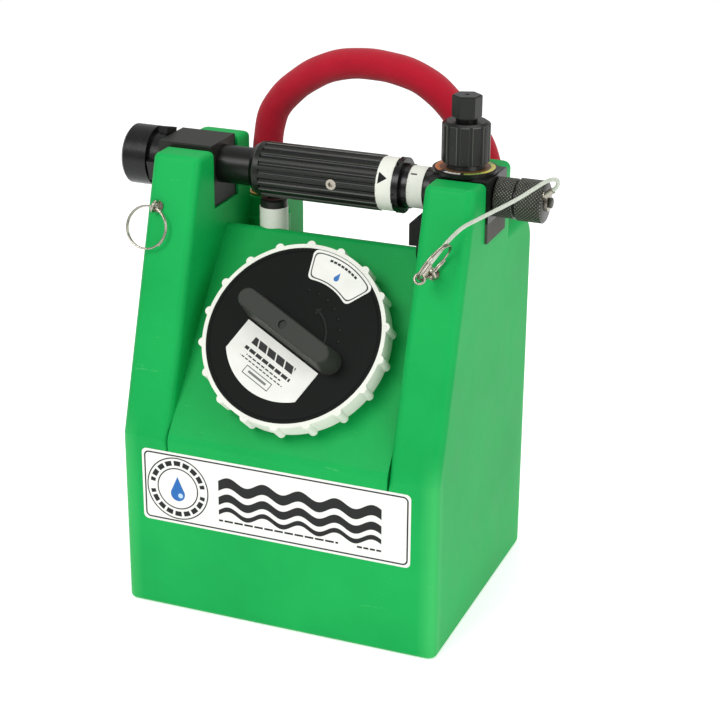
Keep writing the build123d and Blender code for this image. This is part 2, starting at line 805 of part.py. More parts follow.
collar_left_x = valve_right_x + loose
collar_right_x = collar_left_x + collar_width
thread_left_x = collar_right_x + loose
nipple_right_x = thread_left_x + nipple_length
nipple_neck_diameter = 21.0
with BuildPart() as outlet_nipple:
    turned(
        [
            (nozzle_right_x + seat_gap, nipple_bore / 2),
            (nipple_right_x, nipple_bore / 2),
            (nipple_right_x, nipple_diameter / 2),
            (thread_left_x, nipple_diameter / 2),
            (thread_left_x, nipple_neck_diameter / 2),
            (valve_right_x, nipple_neck_diameter / 2),
            (valve_right_x, nipple_root_diameter / 2),
            (nozzle_right_x + seat_gap, nipple_root_diameter / 2),
        ]
    )
finish(outlet_nipple, "outlet_nipple")

with BuildPart() as outlet_collar:
    turned(
        tube_points(collar_left_x, collar_right_x, collar_diameter, nipple_neck_diameter + 2 * seat_gap)
    )
    chamfer(outlet_collar.edges().filter_by(GeomType.CIRCLE).sort_by(SortBy.RADIUS)[-2:], 0.8)
    knurl(Plane.YZ.offset(collar_left_x), collar_diameter / 2, collar_width)
finish(outlet_collar, "outlet_collar")

cap_left_x = thread_left_x + 1
cap_floor_x = nipple_right_x + outlet_gasket_thickness
cap_right_x = cap_floor_x + outlet_cap_floor
nub_head_x = cap_right_x + nub_length / 2
with BuildPart() as outlet_cap:
    turned(
        [
            (cap_left_x, nipple_diameter / 2 + running),
            (cap_floor_x, nipple_diameter / 2 + running),
            (cap_floor_x, 0),
            (cap_right_x + nub_length, 0),
            (cap_right_x + nub_length, nub_diameter / 2),
            (nub_head_x + loose, nub_diameter / 2),
            (nub_head_x + loose, nub_diameter / 2 - 1.5),
            (cap_right_x, nub_diameter / 2 - 1.5),
            (cap_right_x, outlet_cap_diameter / 2 - 1),
            (cap_right_x - 1, outlet_cap_diameter / 2),
            (cap_left_x + 3, outlet_cap_diameter / 2),
            (cap_left_x + 3, outlet_cap_diameter / 2 - 1),
            (cap_left_x, outlet_cap_diameter / 2 - 1),
        ]
    )
    knurl(Plane.YZ.offset(cap_left_x + 3), outlet_cap_diameter / 2, cap_right_x - cap_left_x - 4)
finish(outlet_cap, "outlet_cap")

with BuildPart() as outlet_cap_gasket:
    turned(tube_points(nipple_right_x, cap_floor_x, nipple_diameter - 2 * loose, nipple_bore + 2))
finish(outlet_cap_gasket, "outlet_cap_gasket")

# ---- metering knob and dial ----
with BuildPart() as dial_plate:
    with BuildSketch(Plane.XY.offset(valve_top_z + dial_flange_height)):
        with Locations((dial_x, tube_y)):
            Circle(dial_diameter / 2)
            Circle(metering_plate_diameter / 2 + loose, mode=Mode.SUBTRACT)
    extrude(amount=dial_thickness)
finish(dial_plate, "dial_plate")

dial_top_z = valve_top_z + dial_flange_height + dial_thickness
plate_top_z = metering_plate_z + metering_plate_thickness
with BuildPart() as metering_plate:
    turned_upright(
        dial_x,
        tube_y,
        [
            (3, metering_plate_z),
            (metering_plate_diameter / 2, metering_plate_z),
            (metering_plate_diameter / 2, plate_top_z),
            (3, plate_top_z),
        ],
    )
    with BuildSketch(Plane.XY.offset(metering_plate_z)):
        with Locations((dial_x, tube_y)):
            with PolarLocations(6, 5, start_angle=0, angular_range=200):
                Circle(1)
    extrude(amount=metering_plate_thickness, mode=Mode.SUBTRACT)
finish(metering_plate, "metering_plate")

with BuildPart() as stem_gland:
    turned_upright(
        dial_x,
        tube_y,
        [
            (stem_diameter / 2 + running, plate_top_z + loose),
            (metering_plate_diameter / 2 + seat_gap, plate_top_z + loose),
            (metering_plate_diameter / 2 + seat_gap, valve_top_z + dial_flange_height),
            (stem_diameter / 2 + running, valve_top_z + dial_flange_height),
        ],
    )
finish(stem_gland, "stem_gland")

with BuildPart() as metering_stem:
    turned_upright(
        dial_x,
        tube_y,
        [
            (0, plate_top_z),
            (stem_diameter / 2, plate_top_z),
            (stem_diameter / 2, plate_top_z + stem_length),
            (0, plate_top_z + stem_length),
        ],
    )
finish(metering_stem, "metering_stem")

with BuildPart() as metering_knob:
    turned_upright(
        dial_x,
        tube_y,
        [
            (stem_diameter / 2 + running, dial_top_z + loose),
            (knob_base_diameter / 2, dial_top_z + loose),
            (knob_base_diameter / 2 - 1, knob_bottom_z),
            (knob_diameter / 2 - 1, knob_bottom_z),
            (knob_diameter / 2, knob_bottom_z + 1),
            (knob_diameter / 2, knob_top_z - 2),
            (knob_diameter / 2 - 3, knob_top_z),
            (knob_neck_diameter / 2, knob_top_z),
            (knob_neck_diameter / 2, hex_bottom_z),
            (0, hex_bottom_z),
            (0, plate_top_z + stem_length),
            (stem_diameter / 2 + running, plate_top_z + stem_length),
        ],
    )
    with BuildSketch(Plane.XY.offset(knob_bottom_z)):
        with Locations((dial_x, tube_y)):
            with PolarLocations(knob_diameter / 2 + 1.2, knob_flute_count):
                Circle(2.2)
    extrude(amount=knob_top_z - knob_bottom_z, mode=Mode.SUBTRACT)
    with BuildSketch(Plane.XY.offset(knob_top_z + 1)):
        with Locations((dial_x, tube_y)):
            with PolarLocations(knob_neck_diameter / 2, 16):
                Rectangle(1.2, 1.2)
    extrude(amount=hex_bottom_z - knob_top_z, mode=Mode.SUBTRACT)
finish(metering_knob, "metering_knob")

with BuildPart() as knob_hex:
    with BuildSketch(Plane.XY.offset(hex_bottom_z)):
        with Locations((dial_x, tube_y)):
            RegularPolygon(hex_across_flats / 2, 6, major_radius=False, rotation=20)
    extrude(amount=hex_top_z - hex_bottom_z)
    chamfer(knob_hex.faces().sort_by(Axis.Z)[-1].edges(), 0.8)
    with BuildSketch(Plane.XY.offset(hex_top_z)):
        with Locations((dial_x, tube_y)):
            Circle(1.5)
    extrude(amount=-1, mode=Mode.SUBTRACT)
finish(knob_hex, "knob_hex")

# ---- pickup and vent ----
foot_top_z = foot_bottom_z + foot_height
with BuildPart() as pickup_tube:
    with BuildSketch(Plane.XY.offset(foot_top_z - 3)):
        with Locations((pickup_x, tube_y)):
            Circle(pickup_diameter / 2)
            Circle(pickup_bore / 2, mode=Mode.SUBTRACT)
    extrude(amount=ridge_z - loose - foot_top_z + 3)
finish(pickup_tube, "pickup_tube")

ball_seat_z = foot_bottom_z + 8
with BuildPart() as foot_strainer:
    turned_upright(
        pickup_x,
        tube_y,
        [
            (2.5, foot_bottom_z),
            (foot_diameter / 2, foot_bottom_z),
            (foot_diameter / 2, foot_top_z),
            (pickup_diameter / 2 + seat_gap, foot_top_z),
            (pickup_diameter / 2 + seat_gap, foot_top_z - 3),
            (check_ball_diameter / 2 + 0.5, foot_top_z - 3),
            (check_ball_diameter / 2 + 0.5, ball_seat_z),
            (2.5, ball_seat_z),
        ],
    )
    with BuildSketch(Plane.XY.offset(foot_bottom_z)):
        with Locations((pickup_x, tube_y)):
            with PolarLocations(foot_diameter / 2, 12):
                Rectangle(4, 2)
    extrude(amount=5, mode=Mode.SUBTRACT)
finish(foot_strainer, "foot_strainer")

with BuildPart() as check_ball:
    with Locations((pickup_x, tube_y, ball_seat_z + check_ball_diameter / 2 + seat_gap)):
        Sphere(check_ball_diameter / 2)
finish(check_ball, "check_ball")

with BuildPart() as vent_neck:
    turned_upright(
        vent_x,
        vent_y,
        [
            (vent_bore / 2, ridge_z - 18),
            (vent_diameter / 2, ridge_z - 18),
            (vent_diameter / 2, vent_top_z),
            (vent_bore / 2, vent_top_z),
        ],
    )
finish(vent_neck, "vent_neck")

with BuildPart() as vent_valve:
    turned_upright(
        vent_x,
        vent_y,
        [
            (0, vent_top_z - 8),
            (vent_bore / 2 - seat_gap, vent_top_z - 8),
            (vent_bore / 2 - seat_gap, vent_top_z),
            (vent_diameter / 2 - 0.6, vent_top_z),
            (vent_diameter / 2 - 0.6, vent_valve_top_z - 1.5),
            (vent_diameter / 2 - 2.1, vent_valve_top_z),
            (5, vent_valve_top_z),
            (5, vent_valve_top_z - 1.5),
            (0, vent_valve_top_z - 1.5),
        ],
    )
finish(vent_valve, "vent_valve")

# ---- stowed rinse hose ----
hose_route = [
    (hose_left_x, hose_y, ferrule_top_z),
    (hose_left_x, hose_y, 343),
    (-63, hose_y, 373),
    (-29, hose_y, 396),
    (12, hose_y, 402),
    (52, hose_y, 393),
    (82, hose_y, 366),
    (hose_right_x, hose_y, 331),
    (hose_right_x, hose_y, ferrule_top_z),
]


def bend_radii(route):
    """Radius at each inner point of a cord's route: as large as its two runs allow."""
    radii = []
    for before, here, after in zip(route, route[1:], route[2:]):
        run_in = Vector(here) - Vector(before)
        run_out = Vector(after) - Vector(here)
        half_turn = radians(run_in.get_angle(run_out)) / 2
        radii.append(0.45 * min(run_in.length, run_out.length) / tan(half_turn))
    return radii


def cord_path(name, route, diameter):
    """Line of straight runs joined by tangent arcs, and the plane of its first end."""
    radii = bend_radii(route)
    with BuildLine() as path:
        FilletPolyline(*route, radius=radii)
    line = path.wires()[0]
    volume = pi * diameter**2 / 4 * line.length
    print(f"{name}: length {line.length:.1f}, section x length {volume:.0f}")
    print(f"{name}: radii", [round(radius, 1) for radius in radii])
    return line


hose_line = cord_path("rinse_hose", hose_route, hose_diameter)
with BuildPart() as rinse_hose:
    with BuildSketch(Plane(origin=hose_line @ 0, z_dir=hose_line % 0)):
        Circle(hose_diameter / 2)
    sweep(path=hose_line)
print(f"rinse_hose: volume {rinse_hose.part.volume:.0f}")
finish(rinse_hose, "rinse_hose")

ferrule_bottom_z = ferrule_top_z - ferrule_length
with BuildPart() as hose_ferrules:
    for x in (hose_left_x, hose_right_x):
        turned_upright(
            x,
            hose_y,
            [
                (0, ferrule_bottom_z),
                (ferrule_diameter / 2, ferrule_bottom_z),
                (ferrule_diameter / 2, ferrule_top_z - 1),
                (ferrule_diameter / 2 - 1, ferrule_top_z),
                (0, ferrule_top_z),
            ],
        )
finish(hose_ferrules, "hose_ferrules")

end_bottom_z = pocket_floor_z + loose
with BuildPart() as spray_nozzle:
    turned_upright(
        hose_left_x,
        hose_y,
        [
            (0, end_bottom_z + 3),
            (10, end_bottom_z + 3),
            (11, end_bottom_z),
            (13, end_bottom_z),
            (13, end_bottom_z + 12),
            (9, end_bottom_z + 22),
            (9, ferrule_bottom_z),
            (0, ferrule_bottom_z),
        ],
    )
finish(spray_nozzle, "spray_nozzle")

with BuildPart() as hose_coupling:
    turned_upright(
        hose_right_x,
        hose_y,
        [
            (nipple_bore / 2, end_bottom_z),
            (13.6, end_bottom_z),
            (13.6, end_bottom_z + 20),
            (10, end_bottom_z + 22),
            (10, ferrule_bottom_z),
            (nipple_bore / 2, ferrule_bottom_z),
        ],
    )
finish(hose_coupling, "hose_coupling")

# ---- strap rings and lanyard ----
front_lean = atan2(ear_top_front_y + half_depth, ear_top_z - shoulder_z)
face_normal = Vector(0, -cos(front_lean), sin(front_lean))
face_up = Vector(0, sin(front_lean), cos(front_lean))
across = Vector(1, 0, 0)
eye_hole = anchor_eye / 2 - anchor_wire / 2
eye_slack = eye_hole - ring_wire / 2 - loose
eye_stand_off = anchor_eye / 2 + anchor_wire / 2 + loose
base_thickness = 1.2


def on_front(x, z, stand_off=0.0):
    """Point above the uprights' leaning front face."""
    foot = Vector(x, -half_depth + (z - shoulder_z) * tan(front_lean), z)
    return foot + face_normal * stand_off


left_eye = on_front(-117, 306, eye_stand_off)
right_eye = on_front(104, 285, eye_stand_off)
left_turn = radians(left_ring_turn)
left_hang = face_up * -cos(left_turn) - across * sin(left_turn)
left_ring_centre = left_eye + left_hang * (ring_diameter / 2 + eye_slack)
right_turn = radians(right_ring_turn)
right_along = face_up * cos(right_turn) + across * sin(right_turn)
rise = radians(right_ring_rise)
right_reach = right_along * cos(rise) + face_normal * sin(rise)
right_ring_centre = right_eye + right_reach * (ring_diameter / 2 + eye_slack)
right_tangent = right_along * -sin(rise) + face_normal * cos(rise)

with BuildPart() as ring_anchors:
    for eye, x, z, axis in (
        (left_eye, -117, 306, left_hang.cross(face_normal)),
        (right_eye, 104, 285, right_tangent),
    ):
        with Locations(Plane(origin=eye, z_dir=axis)):
            Torus(anchor_eye / 2, anchor_wire / 2)
        with BuildSketch(Plane(origin=on_front(x, z), z_dir=face_normal)):
            Circle(4.5)
        extrude(amount=base_thickness)
finish(ring_anchors, "ring_anchors")

with BuildPart() as left_ring:
    with Locations(Plane(origin=left_ring_centre, z_dir=face_normal)):
        Torus(ring_diameter / 2, ring_wire / 2)
finish(left_ring, "left_ring")

with BuildPart() as right_ring:
    with Locations(Plane(origin=right_ring_centre, z_dir=right_along.cross(face_normal))):
        Torus(ring_diameter / 2, ring_wire / 2)
finish(right_ring, "right_ring")

clasp_angle = radians(clasp_ring_angle)
clasp_radial = right_along * cos(clasp_angle) + face_normal * sin(clasp_angle)
clasp_point = right_ring_centre + clasp_radial * (ring_diameter / 2)
clasp_tangent = right_along * -sin(clasp_angle) + face_normal * cos(clasp_angle)
lanyard_first_bend = Vector(118, -61, 318.5)
clasp_direction = (lanyard_first_bend - clasp_point).normalized()
link_slack = link_radius - link_wire / 2 - ring_wire / 2 - loose
link_centre = clasp_point + clasp_direction * link_slack
link_axis = (clasp_tangent - clasp_direction * clasp_tangent.dot(clasp_direction)).normalized()
lanyard_start = clasp_point + clasp_direction * clasp_length
with BuildPart() as lanyard_clasp:
    with Locations(Plane(origin=link_centre, z_dir=link_axis)):
        Torus(link_radius, link_wire / 2)
    with BuildSketch(Plane(origin=link_centre + clasp_direction * link_radius, z_dir=clasp_direction)):
        Circle(2.3)
    extrude(amount=clasp_length - link_slack - link_radius)
finish(lanyard_clasp, "lanyard_clasp")

washer_left_x = cap_right_x + loose
washer_width = nub_head_x - washer_left_x
ear_end = Vector(washer_left_x + washer_width / 2 + 0.9, tube_y - 9, tube_z + 8.2)
crimp_direction = Vector(0.75, -0.15, 0.64).normalized()
lanyard_finish = ear_end + crimp_direction * 7
with BuildPart() as lanyard_swivel:
    turned(
        tube_points(washer_left_x, washer_left_x + washer_width, 13, nub_diameter - 3 + 2 * seat_gap)
    )
    ear_middle = (tube_y - 6.7, tube_z + 6.1)
    with BuildSketch(Plane.YZ.offset(washer_left_x)):
        with Locations(Location(ear_middle, -42.4)):
            SlotOverall(10, 5)
    extrude(amount=washer_width)
    with BuildSketch(Plane(origin=ear_end, z_dir=crimp_direction)):
        Circle(2.3)
    extrude(amount=7)
finish(lanyard_swivel, "lanyard_swivel")

lanyard_route = [
    tuple(lanyard_start),
    tuple(lanyard_first_bend),
    (135, -48.5, 327.8),
    (154, -28.5, 337.2),
    (161.7, -19.5, 342.4),
]
lanyard_end_route = [
    (161.7, -19.5, 342.4),
    (170.2, -9.6, 348.1),
    (177, -8.6, 349.4),
    tuple(lanyard_finish + crimp_direction * 5),
    tuple(lanyard_finish),
]
lanyard_line = cord_path("lanyard", lanyard_route, lanyard_diameter)
with BuildPart() as lanyard:
    with BuildSketch(Plane(origin=lanyard_line @ 0, z_dir=lanyard_line % 0)):
        Circle(lanyard_diameter / 2)
    sweep(path=lanyard_line)
finish(lanyard, "lanyard")

lanyard_end_line = cord_path("lanyard_end", lanyard_end_route, lanyard_diameter)
with BuildPart() as lanyard_end:
    with BuildSketch(Plane(origin=lanyard_end_line @ 0, z_dir=lanyard_end_line % 0)):
        Circle(lanyard_diameter / 2)
    sweep(path=lanyard_end_line)
finish(lanyard_end, "lanyard_end")
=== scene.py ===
import json
from math import cos, pi, radians, sin, tau

import bmesh
import bpy
from bpy.props import FloatProperty, FloatVectorProperty, PointerProperty
from mathutils import Matrix, Vector


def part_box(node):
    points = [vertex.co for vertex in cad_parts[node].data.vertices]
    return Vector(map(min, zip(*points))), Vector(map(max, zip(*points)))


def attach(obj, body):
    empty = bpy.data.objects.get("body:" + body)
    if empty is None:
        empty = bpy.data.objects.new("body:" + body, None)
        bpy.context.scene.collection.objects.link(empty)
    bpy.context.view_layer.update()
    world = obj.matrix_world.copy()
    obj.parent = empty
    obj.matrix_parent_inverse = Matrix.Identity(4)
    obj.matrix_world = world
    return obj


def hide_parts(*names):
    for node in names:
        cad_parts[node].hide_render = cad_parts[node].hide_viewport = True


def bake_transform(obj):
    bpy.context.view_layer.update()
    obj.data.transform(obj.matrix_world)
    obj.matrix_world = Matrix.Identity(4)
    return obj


bl_info = {
    "name": "Rinse Pack",
    "version": (1, 0, 0),
    "blender": (4, 5, 0),
    "location": "3D View > Sidebar > Rinse Pack",
    "description": "Dresses the portable rinse pack: tank, cap, mixing valve, hose and lanyard",
    "category": "Object",
}

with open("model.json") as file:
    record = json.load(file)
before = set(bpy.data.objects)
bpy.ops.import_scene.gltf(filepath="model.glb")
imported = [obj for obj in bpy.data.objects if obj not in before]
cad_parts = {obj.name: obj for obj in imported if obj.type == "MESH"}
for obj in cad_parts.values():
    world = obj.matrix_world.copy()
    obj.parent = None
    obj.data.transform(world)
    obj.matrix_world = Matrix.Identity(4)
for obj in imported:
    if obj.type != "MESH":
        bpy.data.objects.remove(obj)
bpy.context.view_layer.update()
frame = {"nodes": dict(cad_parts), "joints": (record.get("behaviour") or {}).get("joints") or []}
joints = {joint["name"]: joint for joint in frame["joints"]}
PANEL = Vector(joints["fill_cap_turn"]["pos_m"])
PANEL_OUT = Vector(joints["fill_cap_turn"]["axis"]).normalized()
PANEL_UP = Vector((1, 0, 0)).cross(PANEL_OUT) * -1
TUBE = Vector(joints["grip_twist"]["pos_m"])
DIAL = Vector(joints["metering_turn"]["pos_m"])
MM = 1000.0  # millimetres in a metre


def paint(red, green, blue):
    """A printed paint colour, 0 to 255, as the linear colour that a shader takes."""
    share = [value / 255 for value in (red, green, blue)]
    linear = [s / 12.92 if s <= 0.04045 else ((s + 0.055) / 1.055) ** 2.4 for s in share]
    return (*linear, 1.0)


def shaded(colour, share, lift=0.0):
    """A linear colour multiplied by share and lifted, and still opaque."""
    return tuple(min(c * share + lift, 1.0) for c in colour[:3]) + (1.0,)


class Channel:
    """A shader socket that adds Math nodes where it is used in an expression."""

    def __init__(self, finish, socket):
        self.finish = finish
        self.socket = socket

    def math(self, operation, *values):
        return self.finish.node("ShaderNodeMath", {"operation": operation}, values)

    def __add__(self, other):
        return self.math("ADD", self, other)

    __radd__ = __add__

    def __sub__(self, other):
        return self.math("SUBTRACT", self, other)

    def __rsub__(self, other):
        return self.math("SUBTRACT", other, self)

    def __mul__(self, other):
        return self.math("MULTIPLY", self, other)

    __rmul__ = __mul__

    def __truediv__(self, other):
        return self.math("DIVIDE", self, other)

    def __pow__(self, other):
        return self.math("POWER", self, other)

    def __abs__(self):
        return self.math("ABSOLUTE", self)

    def smaller(self, other):
        return self.math("MINIMUM", self, other)

    def larger(self, other):
        return self.math("MAXIMUM", self, other)

    def rounded_with(self, other, radius):
        """The smaller of two distances, with their corner rounded."""
        return self.math("SMOOTH_MIN", self, other, radius)

    def degrees(self, across):
        """Angle about the origin of the place (across, self), in degrees."""
        return self.math("ARCTAN2", self, across) * (180 / pi)

    def wave(self, pitch):
        """A sine wave, from -1 to 1, that repeats at the pitch."""
        return self.math("SINE", self * (tau / pitch))

    def repeat(self, pitch):
        """Distance to the nearest multiple of the pitch."""
        return self.math("PINGPONG", self, pitch / 2)

    def clamped(self):
        return self.finish.node("ShaderNodeClamp", {}, (self, 0.0, 1.0))

    def past(self, edge, soft=0.12):
        """0 below the edge and 1 above it, with a soft step between."""
        return ((self - edge) * (1 / soft) + 0.5).clamped()

    def under(self, edge, soft=0.12):
        """1 below the edge and 0 above it, with a soft step between."""
        return 1 - self.past(edge, soft)


class Finish:
    """One procedural finish: a material whose nodes are added by expressions."""

    def __init__(self, name):
        self.material = bpy.data.materials.new(name)
        self.material.use_nodes = True
        self.tree = self.material.node_tree
        self.tree.nodes.clear()
        self.shader = self.tree.nodes.new("ShaderNodeBsdfPrincipled")
        end = self.tree.nodes.new("ShaderNodeOutputMaterial")
        self.tree.links.new(self.shader.outputs[0], end.inputs[0])
        self.where = self.node("ShaderNodeTexCoord", {}, (), "Object")

    def node(self, kind, settings, sockets, output=0):
        """Add a node, set it up, fill its sockets, and give one of its outputs."""
        made = self.tree.nodes.new(kind)
        for name, value in settings.items():
            if name == "stops":
                ramp = made.color_ramp.elements
                while len(ramp) < len(value):
                    ramp.new(1.0)
                for stop, (position, colour) in zip(ramp, value):
                    stop.position = position
                    stop.color = colour
            else:
                setattr(made, name, value)
        pairs = sockets.items() if isinstance(sockets, dict) else enumerate(sockets)
        for key, value in pairs:
            if isinstance(value, Channel):
                self.tree.links.new(value.socket, made.inputs[key])
            else:
                made.inputs[key].default_value = value
        return Channel(self, made.outputs[output])

    def axes(self, vector=None):
        """The three coordinates of a vector, in millimetres."""
        times = {"operation": "MULTIPLY"}
        place = vector or self.where
        scaled = self.node("ShaderNodeVectorMath", times, (place, (MM, MM, MM)))
        split = self.node("ShaderNodeSeparateXYZ", {}, (scaled,))
        outputs = split.socket.node.outputs
        return [Channel(self, outputs[i]) for i in range(3)]

    def along(self, origin, direction):
        """Distance of a surface point from origin along a direction, in millimetres."""
        away = {"operation": "SUBTRACT"}
        offset = self.node("ShaderNodeVectorMath", away, (self.where, tuple(origin)))
        ruler = tuple(Vector(direction) * MM)
        dot = {"operation": "DOT_PRODUCT"}
        return self.node("ShaderNodeVectorMath", dot, (offset, ruler), "Value")

    def stretched(self, factors):
        """Places for a noise that is finer along an axis with a larger factor."""
        times = {"operation": "MULTIPLY"}
        return self.node("ShaderNodeVectorMath", times, (self.where, tuple(factors)))

    def noise(self, scale, detail=3.0, roughness=0.55, vector=None):
        """Cloudy noise from 0 to 1, with about scale clouds in a metre."""
        sockets = {"Scale": scale, "Detail": detail, "Roughness": roughness}
        sockets["Vector"] = vector or self.where
        return self.node("ShaderNodeTexNoise", {}, sockets)

    def blend(self, factor, first, second):
        """One colour laid over another where factor is 1."""
        sockets = {0: factor, 6: first, 7: second}
        return self.node("ShaderNodeMix", {"data_type": "RGBA"}, sockets, 2)

    def relief(self, height, depth, strength):
        """Small surface relief, depth in metres."""
        sockets = {"Height": height, "Distance": depth, "Strength": strength}
        return self.node("ShaderNodeBump", {}, sockets)

    def done(self, **sockets):
        """Fill the shader's sockets, each named in small letters, and give the material."""
        for name, value in sockets.items():
            key = name.replace("_", " ").title().replace("Ior", "IOR")
            socket = self.shader.inputs[key]
            if isinstance(value, Channel):
                self.tree.links.new(value.socket, socket)
            else:
                socket.default_value = value
        return self.material


def from_middle(u, v):
    """Distance of the flat coordinates u and v from their origin."""
    return (u * u + v * v) ** 0.5


def disc(u, v, centre, radius, soft=0.15):
    """Mask of a filled circle at centre, in the flat coordinates u and v."""
    return from_middle(u - centre[0], v - centre[1]).under(radius, soft)


def bar(u, v, low, high):
    """Mask of a filled rectangle from its low corner to its high corner."""
    soft = 0.15
    wide = abs(u - (low[0] + high[0]) / 2).under((high[0] - low[0]) / 2, soft)
    tall = abs(v - (low[1] + high[1]) / 2).under((high[1] - low[1]) / 2, soft)
    return wide * tall


def drop(u, v, centre, size):
    """Mask of a water drop: a round foot below a point."""
    round_foot = disc(u, v, (centre[0], centre[1] - size * 0.35), size * 0.62)
    height = v - (centre[1] - size * 0.1)
    width = (1 - height * (1 / (size * 1.25))) * (size * 0.56)
    point = abs(u - centre[0]) - width
    cone = point.under(0.0, 0.3) * height.past(0.0) * height.under(size * 1.25)
    return round_foot.larger(cone)


# ---- finishes ----
def moulded_green(colours):
    """Moulded polyethylene: mottled green, fine orange peel, scuffs and a painted highlight on the
    lower corners.
    """
    f = Finish("moulded_green")
    x, y, z = f.axes()
    mottle = f.noise(9.0, 4.0)
    cloud = f.noise(38.0, 3.0)
    peel = f.noise(620.0, 2.0)
    grain = f.noise(2400.0, 2.0)
    streak = f.noise(30.0, 5.0, 0.7, f.stretched((1.0, 1.0, 9.0)))
    scuff = streak.past(0.69, 0.05) * cloud.past(0.5, 0.2)
    deep = shaded(colours.tank_green, 0.86)
    bright = shaded(colours.tank_green, 1.14, 0.006)
    base = f.blend((mottle * 1.6 - 0.3).clamped(), deep, bright)
    base = f.blend(cloud.past(0.5, 0.5) * 0.18, base, bright)
    base = f.blend(scuff * 0.22, base, paint(150, 220, 160))
    # painted highlight: the lower vertical corners are painted a lighter green where their rounded
    # edges would catch the light
    corner_x, corner_y, corner_top = 119.0, 98.0, 150.0
    corner = abs(x).past(corner_x, 12.0) * abs(y).past(corner_y, 14.0)
    corner = corner * z.under(corner_top, 30.0)
    base = f.blend(corner * 0.30, base, paint(96, 205, 120))
    rough = 0.43 + cloud * 0.14 + scuff * 0.12
    height = peel * 0.75 + grain * 0.25
    return f.done(
        base_color=base,
        roughness=rough,
        normal=f.relief(height, 0.00022, 0.5),
        specular_ior_level=0.14,
    )


def white_moulding(colours):
    """Off-white moulded plastic, slightly dusty in its grain."""
    f = Finish("white_moulding")
    cloud = f.noise(45.0, 4.0)
    grain = f.noise(1500.0, 2.0)
    dust = f.noise(160.0, 5.0, 0.7).past(0.62, 0.1)
    base = f.blend(cloud, colours.cap_white, paint(206, 208, 198))
    base = f.blend(dust * 0.16, base, paint(176, 172, 158))
    return f.done(
        base_color=base,
        roughness=0.4 + cloud * 0.14,
        specular_ior_level=0.3,
        normal=f.relief(grain, 0.0001, 0.4),
    )


def black_moulding(name, shade, roughness, grain_scale=1300.0):
    """Black moulded plastic with a fine grain."""
    f = Finish(name)
    cloud = f.noise(60.0, 4.0)
    grain = f.noise(grain_scale, 2.0)
    worn = f.noise(240.0, 5.0, 0.7).past(0.66, 0.06)
    base = f.blend(cloud, shade, shaded(shade, 1.6))
    base = f.blend(worn * 0.12, base, paint(92, 92, 88))
    return f.done(
        base_color=base,
        roughness=roughness + cloud * 0.1 + worn * 0.06,
        specular_ior_level=0.3,
        normal=f.relief(grain, 0.00009, 0.45),
    )


def anodised_black(name, colours, axis=(1.0, 30.0, 30.0), lightness=1.0, lands=None):
    """Hard-anodised aluminium: near black, with turning lines and a soft sheen.

    lands is (point on the axis, two directions across it, radius in millimetres) of a fluted
    piece, whose grooves get painted shade and the edges of its lands a painted highlight.
    """
    f = Finish(name)
    cloud = f.noise(70.0, 4.0)
    lines = f.noise(300.0, 2.0, 0.5, f.stretched([30.0 / a for a in axis]))
    worn = f.noise(420.0, 5.0, 0.75).past(0.68, 0.05)
    shade = shaded(colours.anodised_black, lightness)
    base = f.blend(cloud * 0.6 + lines * 0.4, shade, shaded(shade, 1.9))
    base = f.blend(worn * 0.25, base, paint(120, 120, 114))
    if lands:
        point, first, second, radius = lands
        across, up = f.along(point, first), f.along(point, second)
        reach = from_middle(across, up)
        # painted shade in the grooves between the flutes, and a painted highlight along the edges
        # of the lands
        groove_floor, land_edge = radius - 0.45, radius - 0.5
        groove = reach.under(groove_floor, 0.5)
        edge = reach.past(land_edge, 0.2) * reach.under(radius - 0.1, 0.2)
        base = f.blend(groove * 0.75, base, paint(2, 3, 2))
        base = f.blend(edge * 0.5, base, paint(104, 108, 98))
    return f.done(
        base_color=base,
        roughness=0.22 + cloud * 0.12 + lines * 0.08,
        metallic=0.2,
        specular_ior_level=0.36,
        normal=f.relief(lines, 0.00003, 0.35),
    )


def knurled_black(colours, pitch):
    """Black anodised metal whose knurl's diamond tips carry a painted pale grey highlight."""
    f = Finish("knurled_black")
    x, angle = around_tube(f)
    turn = angle * (pitch * KNURL_COUNT / 360)
    first = (x + turn).repeat(pitch) * (2 / pitch)
    second = (x - turn).repeat(pitch) * (2 / pitch)
    # painted highlight: the diamond tips are painted pale grey and made more metallic
    tip_highlight = (1 - first.larger(second)).past(0.42, 0.3)
    cloud = f.noise(90.0, 4.0)
    speck = f.noise(500.0, 3.0)
    shade = colours.anodised_black
    base = f.blend(cloud, shade, shaded(shade, 1.8))
    base = f.blend(tip_highlight * (speck * 0.9 + 0.1), base, paint(128, 130, 116))
    return f.done(
        base_color=base,
        roughness=0.3 + cloud * 0.12,
        metallic=tip_highlight * 0.5 + 0.2,
        specular_ior_level=0.45,
        normal=f.relief(speck, 0.00003, 0.3),
    )


def brushed_black():
    """Satin black block, its flat faces brushed up and down."""
    f = Finish("brushed_black")
    brush = f.noise(60.0, 4.0, 0.6, f.stretched((14.0, 14.0, 1.0)))
    cloud = f.noise(30.0, 3.0)
    base = f.blend(brush * 0.7 + cloud * 0.3, paint(14, 15, 13), paint(40, 42, 36))
    return f.done(
        base_color=base,
        roughness=0.38 + brush * 0.16,
        metallic=0.2,
        specular_ior_level=0.3,
        normal=f.relief(brush, 0.00006, 0.5),
    )


def grey_block():
    """Moulded saddle with a coarse matt grain: dark grey at its +x end, with painted shade in
    black over the rest.
    """
    f = Finish("grey_block")
    grain = f.noise(900.0, 3.0)
    cloud = f.noise(50.0, 4.0)
    base = f.blend(cloud, paint(62, 61, 57), paint(88, 86, 80))
    # painted shade: all of the block but its last 12 mm towards +x is painted black
    unshaded_width = 0.012
    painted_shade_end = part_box("saddle_block")[1][0] - unshaded_width
    clear_of_painted_shade = f.along((painted_shade_end, 0.0, 0.0), (1, 0, 0)).past(0.0, 1.0)
    base = f.blend(clear_of_painted_shade, paint(16, 18, 16), base)
    return f.done(
        base_color=base,
        roughness=0.6 + grain * 0.15,
        specular_ior_level=0.25,
        normal=f.relief(grain, 0.00015, 0.5),
    )


